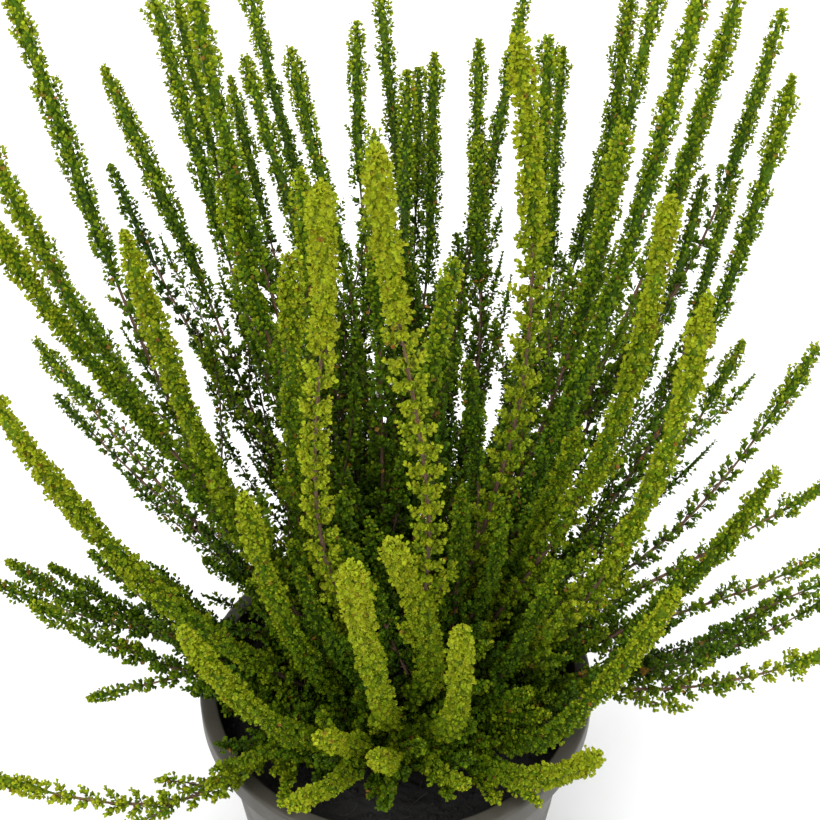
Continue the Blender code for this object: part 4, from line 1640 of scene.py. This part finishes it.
@dataclass
class LeafyStem:
    """One stem with its side shoots: its bark and its many leafy twiglets."""

    number: int
    shoots: list[Shoot]
    foliage: Foliage
    leaves: bpy.types.Material
    bark: bpy.types.Material
    short_twigs: TwigRule = TwigRule(11 * MM, (8 * MM, 18 * MM))
    front_twigs: TwigRule = TwigRule(18 * MM, (30 * MM, 62 * MM))
    back_twigs: TwigRule = TwigRule(15 * MM, (55 * MM, 125 * MM))
    front_foot: FootRule = FootRule(7, (22, 52), (64, 84), (25, 62))
    back_foot: FootRule = FootRule(4, (34, 78), (36, 66), (20, 55))
    foot_fan: float = 62.0
    twig_plump: float = 0.7 * MM
    twig_stalk: float = 0.45 * MM
    twig_bare: float = 0.72
    long_twig: float = 8 * MM
    wood_step: float = 4.2 * MM
    core_step: float = 2.6 * MM
    core_depth: float = 2.6 * MM
    sides: int = 5

    def build(self) -> tuple[int, int]:
        """Makes the leaves and the wood.

        Returns:
            The triangles of the leaves, then of the wood.
        """
        chance = np.random.default_rng(100 + self.number)
        node = f"leafy_stem_{self.number:02d}"
        leaves, wood = f"leaves_{self.number:02d}", f"wood_{self.number:02d}"
        sprigs = Sprigs.gather([group for shoot in self.shoots for group in self.sprigs_of(shoot, chance)])
        cores = [self.core(shoot, chance) for shoot in self.shoots]
        green = Clothing.gather([self.foliage.clothe(sprigs, chance), *cores])
        mesh = make_mesh(leaves, green.points, [green.faces])
        paint(mesh, "leaf_tone", green.youth, green.draw, green.dryness)
        place(leaves, mesh, self.leaves, "foliage", node)
        bark = self.wood(sprigs, chance)
        place(wood, bark.mesh(wood, "bark_tone"), self.bark, "foliage", node)
        return len(green.faces), sum(len(faces) * (faces.shape[1] - 2) for faces in bark.faces)

    def youth_of(self, shoot: Shoot) -> float:
        """How young a shoot's leaves are, with painted light and shade: lighter at the front and the top,
        darker low at the back.

        Args:
            shoot: The shoot.

        Returns:
            How young and how lit it is, 0 for old and shaded and 1 for young and lit.
        """
        # Painted light and shade: lighter at the front and the top, where the light falls, darker at the
        # back; small shoots in the others' shade 0.20 darker, tall ones and those lying out over the rim a
        # little lighter.
        front = smoothstep((90 * MM - shoot.tip[1]) / (200 * MM))
        high = smoothstep((shoot.tip[2] - 150 * MM) / (200 * MM))
        habit_and_shade = 0.09 * shoot.tall + 0.10 * shoot.low - 0.20 * shoot.small
        return float(0.50 + 0.28 * front + 0.20 * high + habit_and_shade)

    def openness(self, shoot: Shoot, along: Array) -> Array:
        """How loose the twiglets stand: 0 in a dense tip, 1 on an open branch.

        It falls by a smooth step over 0.30 of the length, the middle of which depends on the shoot.

        Args:
            shoot: The shoot.
            along: Distances from its foot.

        Returns:
            One value per distance.
        """
        if shoot.length() < RULES.short_below:
            dense_from = 0.05
        elif shoot.wide:
            dense_from = 0.76 if shoot.tall else 0.20
        elif shoot.low:
            dense_from = 0.80
        else:
            dense_from = 0.60 if shoot.at_back else 0.48
        share = along / shoot.length()
        return 1 - smoothstep((share - dense_from + 0.15) / 0.30)

    def reach(self, shoot: Shoot, along: Array) -> Array:
        """Reach of the leaves' tips from the centreline, on average the solid's own.

        It is the solid's reach times 5.6 mm over its girth plus 0.38, less 0.08 at the front and
        0.18 on a small shoot.

        Args:
            shoot: The shoot.
            along: Distances from its foot.

        Returns:
            One reach per distance.
        """
        near = smoothstep((80 * MM - shoot.tip[1]) / (120 * MM))
        factor = 5.6 / shoot.girth.value + 0.38 - 0.08 * near - 0.18 * shoot.small
        return shoot.leafy_radius(along) * factor

    def light_along(self, shoot: Shoot, at: Array) -> Array:
        """How young and lit a shoot is along its length: its own value, less towards its foot as painted
        shade, and more over its last 85 mm.

        Args:
            shoot: The shoot.
            at: Distances from its foot.

        Returns:
            One value per distance.
        """
        near_tip = smoothstep((at - shoot.length() + 85 * MM) / (85 * MM))
        # Painted shade: darker towards the foot, where the other shoots shade it.
        shade = 0.20 if shoot.low else 0.30
        return self.youth_of(shoot) - shade * (1 - at / shoot.length()) ** 1.5 + 0.18 * near_tip

    def sprigs_of(self, shoot: Shoot, chance: np.random.Generator) -> list[Sprigs]:
        """All the twiglets of one shoot, with longer side twigs at the back.

        Args:
            shoot: The shoot.
            chance: Source of the random draws.

        Returns:
            The twiglets, in groups.
        """
        return [
            *self.buds(shoot, chance),
            *self.tufts(shoot, chance),
            *self.twigs(shoot, self.short_twigs, chance),
            *self.twigs(shoot, self.back_twigs if shoot.at_back else self.front_twigs, chance),
            *self.foot_twigs(shoot, chance),
            self.leader(shoot),
        ]

    def buds(self, shoot: Shoot, chance: np.random.Generator) -> list[Sprigs]:
        """Short plump twiglets in opposite pairs over the dense part.

        Each pair is turned from the last by 0.618 of half a turn, which spreads them evenly. The
        wider the shoot, the closer they stand, and their reach swells and shrinks along it.

        Args:
            shoot: The shoot.
            chance: Source of the random draws.

        Returns:
            One group for each side of the pairs.
        """
        width = 2 * self.reach(shoot, np.array([0.7 * shoot.length()]))[0] / MM
        spacing = 2 * MM / (0.30 * width)
        at = np.arange(shoot.bare(), shoot.length() - 1.6 * MM, spacing)
        at = at + chance.uniform(-0.3, 0.3, len(at)) * spacing
        at = at[self.openness(shoot, at) < 0.5]
        stations = Stations.along(shoot, at, chance)
        upright = 1 - smoothstep((shoot.length() - at) / (7 * MM))
        turn = np.arange(len(at)) * 0.618 * math.pi
        swell = (0.13 if shoot.wide else 0.20) * ripples(stations.centres, 10 * MM, chance, 16)
        reach = self.reach(shoot, at) * (1 + swell)
        longest = np.maximum(0.80 * reach - 0.60 * MM, 0.8 * MM) / 0.66
        groups = []
        for half in (0, math.pi):
            out = stations.outward(turn + half + chance.normal(0, 0.16, len(at)))
            angle = np.radians(58 - 34 * upright + chance.normal(0, 6, len(at)))[:, None]
            groups.append(Sprigs.of(
                stations.centres,
                np.cos(angle) * stations.ways + np.sin(angle) * out,
                unit(0.85 * stations.ways + (0.55 - 0.3 * upright)[:, None] * out),
                length=longest * chance.uniform(0.82, 1.18, len(at)),
                first=0.48,
                youth=self.light_along(shoot, at) + chance.normal(0, 0.05, len(at)),
                leaf=0.96,
            ))
        return groups

    def tufts(self, shoot: Shoot, chance: np.random.Generator) -> list[Sprigs]:
        """Fans of two twiglets in opposite pairs over the open part, each pair turned a quarter.

        Args:
            shoot: The shoot.
            chance: Source of the random draws.

        Returns:
            Two groups for each side of the pairs, or none.
        """
        spacing, scale = (4.4 * MM, 0.86 * MM) if shoot.low else (5.0 * MM, MM)
        at = np.arange(shoot.bare(), shoot.length() - 4 * MM, spacing)
        at = at + chance.uniform(-0.7, 0.7, len(at)) * MM
        at = at[self.openness(shoot, at) >= 0.5]
        if not len(at):
            return []
        stations = Stations.along(shoot, at, chance)
        turn = np.arange(len(at)) * math.pi / 2 + chance.normal(0, 0.2, len(at))
        size = scale * (shoot.girth.value - 2.4)
        youth = self.light_along(shoot, at)
        groups = []
        for half in (0, math.pi):
            out = stations.outward(turn + half)
            angle = np.radians(50 + chance.normal(0, 7, len(at)))[:, None]
            leaving = np.cos(angle) * stations.ways + np.sin(angle) * out
            ending = unit(0.75 * stations.ways + 0.55 * out)
            length = size * chance.uniform(0.78, 1.15, len(at))
            tone = youth + chance.normal(0, 0.05, len(at))
            groups.append(Sprigs.of(
                stations.centres, leaving, ending,
                length=length, first=0.20, youth=tone, leaf=1.06, plump=0.95 * MM, stalk=0.22 * MM,
            ))
            beside = np.cross(stations.ways, out) * chance.choice([-1.0, 1.0], len(at))[:, None]
            groups.append(Sprigs.of(
                stations.centres + 0.25 * length[:, None] * leaving,
                unit(leaving + 0.8 * beside),
                unit(ending + 0.35 * beside),
                length=0.56 * length, first=0.2, youth=tone - 0.03,
            ))
        return groups

    def twigs(self, shoot: Shoot, rule: TwigRule, chance: np.random.Generator) -> list[Sprigs]:
        """Side twigs on the lower part of a shoot, with their twiglets.

        Args:
            shoot: The shoot that they grow from.
            rule: Their spacing and their lengths at its foot. Higher up they end shorter.
            chance: Source of the random draws.

        Returns:
            The twigs and their twiglets, or none on a shoot that is short for them.
        """
        length = shoot.length()
        if length < 1.5 * rule.lengths[1]:
            return []
        upto = length * (0.26 if shoot.wide else 0.52 if shoot.lean < RULES.low_lean else 0.62)
        at = np.arange(shoot.bare() + 2 * MM, upto, rule.spacing)
        at = at + chance.uniform(-0.25, 0.25, len(at)) * rule.spacing
        stations = Stations.along(shoot, at, chance)
        out = stations.outward(np.arange(len(at)) * 2.4 + chance.uniform(0, math.tau))
        out[:, 2] = np.abs(out[:, 2])
        angle = np.radians(chance.uniform(26, 46, len(at)))[:, None]
        leaving = unit(np.cos(angle) * stations.ways + np.sin(angle) * out)
        ending = unit(0.35 * leaving + 0.65 * stations.ways + np.array([0, 0, 0.30]))
        lengths = chance.uniform(*rule.lengths, len(at)) * (1 - 0.55 * at / upto)
        youth = self.light_along(shoot, at) - 0.05 + chance.normal(0, 0.05, len(at))
        return self.branched(stations.centres, leaving, ending, lengths, youth, chance)

    def foot_twigs(self, shoot: Shoot, chance: np.random.Generator) -> list[Sprigs]:
        """Young twigs from the foot of a main shoot, fanned outwards, which lean out and curve up.

        Args:
            shoot: The shoot.
            chance: Source of the random draws.

        Returns:
            The twigs and their twiglets, or none on a side shoot.
        """
        if shoot.parent:
            return []
        rule = self.back_foot if shoot.behind_middle else self.front_foot
        start = points_at(shoot.path, np.linspace(4, 15, rule.count) * MM)
        way = math.degrees(math.atan2(shoot.path[0, 0], -shoot.path[0, 1]))
        turns = way + np.linspace(-self.foot_fan, self.foot_fan, rule.count)
        turns = turns + chance.normal(0, 14, rule.count)
        leaving = np.array([direction(turn, chance.uniform(*rule.leaving)) for turn in turns])
        ending = np.array([direction(turn, chance.uniform(*rule.ending)) for turn in turns])
        lengths = MM * chance.uniform(*rule.lengths, rule.count)
        youth = 0.44 + chance.normal(0, 0.08, rule.count)
        return self.branched(start, leaving, ending, lengths, youth, chance)

    def branched(
        self,
        start: Array,
        leaving: Array,
        ending: Array,
        lengths: Array,
        youth: Array,
        chance: np.random.Generator,
    ) -> list[Sprigs]:
        """Woody twigs, and pairs of leafy twiglets all along each, every pair turned a quarter.

        Args:
            start: Where each twig leaves its shoot.
            leaving: Its direction there.
            ending: Its direction at its end.
            lengths: Its length.
            youth: How young it is, with painted light and shade.
            chance: Source of the random draws.

        Returns:
            The twigs and their twiglets.
        """
        twigs = Sprigs.of(
            start, leaving, ending,
            length=lengths, first=self.twig_bare, youth=youth, plump=self.twig_plump, stalk=self.twig_stalk,
        )
        count = np.maximum(1, (lengths / (3.5 * MM)).astype(int))
        row = np.repeat(np.arange(len(count)), count)
        step = np.arange(len(row)) - np.repeat(np.cumsum(count) - count, count)
        share = (step + 0.7) / np.repeat(count, count) * 0.86
        points, way = twigs.at(row, share)
        side = unit(np.cross(way, unit(chance.normal(size=(len(count), 3)))[row]))
        turned_side = np.where((step % 2 == 0)[:, None], side, np.cross(way, side))
        groups = [twigs]
        for sign in (-1, 1):
            leave = unit(0.70 * way + 0.75 * sign * turned_side)
            groups.append(Sprigs.of(
                points,
                leave,
                unit(0.6 * leave + 0.6 * way),
                length=MM * chance.uniform(2.9, 4.6, len(row)) * (1.06 - 0.22 * share),
                first=0.22,
                youth=youth[row] + 0.04 + 0.10 * share + chance.normal(0, 0.04, len(row)),
                leaf=1.02,
                dry=(chance.uniform(size=len(row)) < 0.014) & (points[:, 2] < 150 * MM),
            ))
        return groups

    def leader(self, shoot: Shoot) -> Sprigs:
        """The twiglet that ends the shoot.

        Args:
            shoot: The shoot.

        Returns:
            The one twiglet.
        """
        start, end = points_at(shoot.path, shoot.length() - np.array([5.0 * MM, 0]))
        way = unit(end - start)[None]
        youth = self.youth_of(shoot) + 0.26
        return Sprigs.of(start[None], way, way, length=4.4 * MM, first=0.0, youth=youth, plump=0.8 * MM)

    def core(self, shoot: Shoot, chance: np.random.Generator) -> Clothing:
        """The tight green inside of a shoot's dense part, under the twiglets' leaves, painted dark as the
        shade in its depth.

        Its radius is the leaves' reach less 2.6 mm, held between 0.6 and 1.7 mm, times how closed
        the shoot is there, plus 0.2 mm. Each of its points then lies up to 0.35 of that further
        in or out.

        Args:
            shoot: The shoot.
            chance: Source of the random draws.

        Returns:
            The closed core.
        """
        path = evenly(shoot.path, self.core_step)
        at = lengths_along(path)
        closed = smoothstep(1.6 * (1 - self.openness(shoot, at)) - 0.6)
        keep = closed > 0.02
        path, at, closed = path[keep], at[keep], closed[keep]
        radii = np.clip(self.reach(shoot, at) - self.core_depth, 0.6 * MM, 1.7 * MM) * closed + 0.2 * MM
        relief = chance.uniform(0.65, 1.35, (len(path), self.sides))
        points, quads, ends = tube(path, radii, self.sides, FRAME_START, relief)
        faces = np.concatenate([quads[:, [0, 1, 2]], quads[:, [0, 2, 3]], ends])
        # Painted shade: 0.40 darker than the shoot's leaves, a dark body where the foliage is in shade.
        tone = self.light_along(shoot, at) - 0.40
        youth = np.concatenate([np.repeat(tone, self.sides), tone[:1], tone[-1:]])
        youth = youth + chance.normal(0, 0.06, len(youth))
        return Clothing(points, faces, youth, chance.uniform(0, 1, len(youth)), np.zeros(len(youth)))

    def wood(self, sprigs: Sprigs, chance: np.random.Generator) -> Part:
        """The bark: a tapered, slightly knobbly tube along each shoot, and stalks in the twigs.

        A tube's radius in mm falls from 1.10, or 0.66 in a side shoot, to 0.34 by the share of
        its length to the power of 0.6. The bark's tone is that share, and 0.55 in the twigs.

        Args:
            sprigs: The stem's twiglets.
            chance: Source of the random draws.

        Returns:
            All the bark of the stem.
        """
        parts = []
        for shoot in self.shoots:
            path = evenly(shoot.path, self.wood_step)
            if shoot.parent is None:
                sunk = path[0] - [0, 0, RULES.stub + RULES.hole_depth - RULES.gap]
                path = np.vstack([sunk, path])
            share = np.linspace(0, 1, len(path))
            thick = 1.10 if shoot.parent is None else 0.66
            radii = MM * (thick - (thick - 0.34) * share**0.6)
            knots = 0.13 * ripples(path, 9 * MM, chance, 12)[:, None]
            knots = 1 + knots + chance.normal(0, 0.07, (len(path), self.sides))
            points, *faces = tube(path, radii, self.sides, FRAME_START, knots)
            tone = np.concatenate([np.repeat(share, self.sides), share[:1], share[-1:]])
            parts.append(Part(points, faces, tone))
        stalked = sprigs.stalk > 0
        long = stalked & (sprigs.length > self.long_twig)
        for rows, rings in ((np.flatnonzero(stalked & ~long), 1), (np.flatnonzero(long), 4)):
            points, faces = self.stalks(sprigs, rows, rings)
            parts.append(Part(points, [faces], np.full(len(points), 0.55)))
        return Part.gather(parts)

    def stalks(self, sprigs: Sprigs, rows: Array, rings: int) -> tuple[Array, Array]:
        """Slim three-sided stalks that taper evenly to a point.

        Args:
            sprigs: All the twiglets.
            rows: Which of them get a stalk.
            rings: How many rings of three points each stalk has below its tip.

        Returns:
            Points and triangles.
        """
        loops = []
        for share in np.arange(rings) / rings:
            centre, way = sprigs.at(rows, np.full(len(rows), share))
            loops += three_round(centre, way, sprigs.stalk[rows] * (1 - 0.6 * share))
        tip, _ = sprigs.at(rows, np.ones(len(rows)))
        points = np.stack([*loops, tip], axis=1)
        side = [(n, (n + 1) % 3) for n in range(3)]
        shape = []
        for low in range(0, 3 * rings - 3, 3):
            for one, other in side:
                shape.append((low + one, low + other, low + 3 + one))
                shape.append((low + other, low + 3 + other, low + 3 + one))
        top = 3 * rings - 3
        shape += [(top + one, top + other, top + 3) for one, other in side]
        faces = np.array(shape)[None] + points.shape[1] * np.arange(len(rows))[:, None, None]
        return points.reshape(-1, 3), faces.reshape(-1, 3)


# Studio


@dataclass(frozen=True)
class Panel:
    """A round soft light: its name, its place and width in metres, and its power in watts."""

    name: str
    where: tuple[float, float, float]
    width: float
    power: float


@dataclass(frozen=True)
class Studio:
    """A pale floor, broad soft light and the camera at the photograph's angle."""

    floor_half: float = 4.0
    floor_drop: float = 0.2 * MM
    surround: float = 0.80
    lit_point: tuple[float, float, float] = (0, 0.03, 0.18)
    panels: tuple[Panel, ...] = (
        Panel("front_left", (-0.9, -1.0, 1.5), 1.3, 26.0),
        Panel("front_right", (1.0, -0.7, 1.3), 1.1, 14.0),
        Panel("overhead", (0.0, 0.5, 1.9), 1.6, 24.0),
    )
    rim_height: float = NurseryPot.height
    camera_back: float = 410 * MM
    camera_above_rim: float = 505 * MM
    pitch: float = 42.5
    yaw: float = 0.7
    focal_pixels: float = 1800.0
    frame_pixels: float = 820.0
    sensor: float = 36.0

    def build(self) -> None:
        """Sets the floor, the lights and the camera."""
        self.floor()
        self.lights()
        self.camera()

    def floor(self) -> None:
        """One large square just under the pot."""
        half, z = self.floor_half, -self.floor_drop
        corners = np.array([(-half, -half, z), (half, -half, z), (half, half, z), (-half, half, z)])
        mesh = make_mesh("floor", corners, [np.array([[0, 1, 2, 3]])], smooth=False)
        mesh.materials.append(FloorFinish().build())
        floor = bpy.data.objects.new("floor", mesh)
        bpy.context.scene.collection.objects.link(floor)

    def lights(self) -> None:
        """A bright even surround and the large soft panels."""
        world = bpy.data.worlds.new("studio")
        world.use_nodes = True
        background = world.node_tree.nodes["Background"]
        background.inputs["Color"].default_value = (1.0, 1.0, 1.0, 1.0)
        background.inputs["Strength"].default_value = self.surround
        bpy.context.scene.world = world
        for panel in self.panels:
            light = bpy.data.lights.new(panel.name, "AREA")
            light.shape, light.size, light.energy = "DISK", panel.width, panel.power
            lamp = bpy.data.objects.new(panel.name, light)
            lamp.location = panel.where
            aim = Vector(self.lit_point) - Vector(panel.where)
            lamp.rotation_euler = aim.to_track_quat("-Z", "Y").to_euler()
            bpy.context.scene.collection.objects.link(lamp)
        view = bpy.context.scene.view_settings
        view.view_transform = "Standard"
        view.look = "None"
        view.exposure = 0.0

    def camera(self) -> None:
        """The camera, found from the rim's ellipse and the shoots' tips in the photograph."""
        lens = bpy.data.cameras.new("camera")
        lens.sensor_width = self.sensor
        lens.lens = self.sensor * self.focal_pixels / self.frame_pixels
        camera = bpy.data.objects.new("camera", lens)
        camera.location = (0, -self.camera_back, self.rim_height + self.camera_above_rim)
        camera.rotation_euler = (math.radians(90 - self.pitch), 0, -math.radians(self.yaw))
        bpy.context.scene.collection.objects.link(camera)
        bpy.context.scene.camera = camera


NEAR_FOLIAGE = Foliage()
FAR_FOLIAGE = Foliage(pair_spacing=1.42 * MM, shape=LeafShape.FOLDED)


def main() -> None:
    """Builds the pot, the soil, the stems and the studio, in that order."""
    logging.basicConfig(level=logging.INFO, format="%(name)s: %(message)s")
    pot = NurseryPot()
    pot.build()
    PottingSoil(pot).build()
    shoots = grow_shoots()
    LOG.info("%d shoots grown", len(shoots))
    leaves, bark = LeafFinish().build(), BarkFinish().build()
    total = np.zeros(2, dtype=int)
    for stem in range(len(STEMS)):
        mine = [shoot for shoot in shoots if shoot.stem == stem]
        foliage = FAR_FOLIAGE if mine[0].behind_middle else NEAR_FOLIAGE
        total += LeafyStem(stem + 1, mine, foliage, leaves, bark).build()
    LOG.info("leaves %d triangles, wood %d triangles", *total)
    Studio().build()


if __name__ == "__main__":
    main()
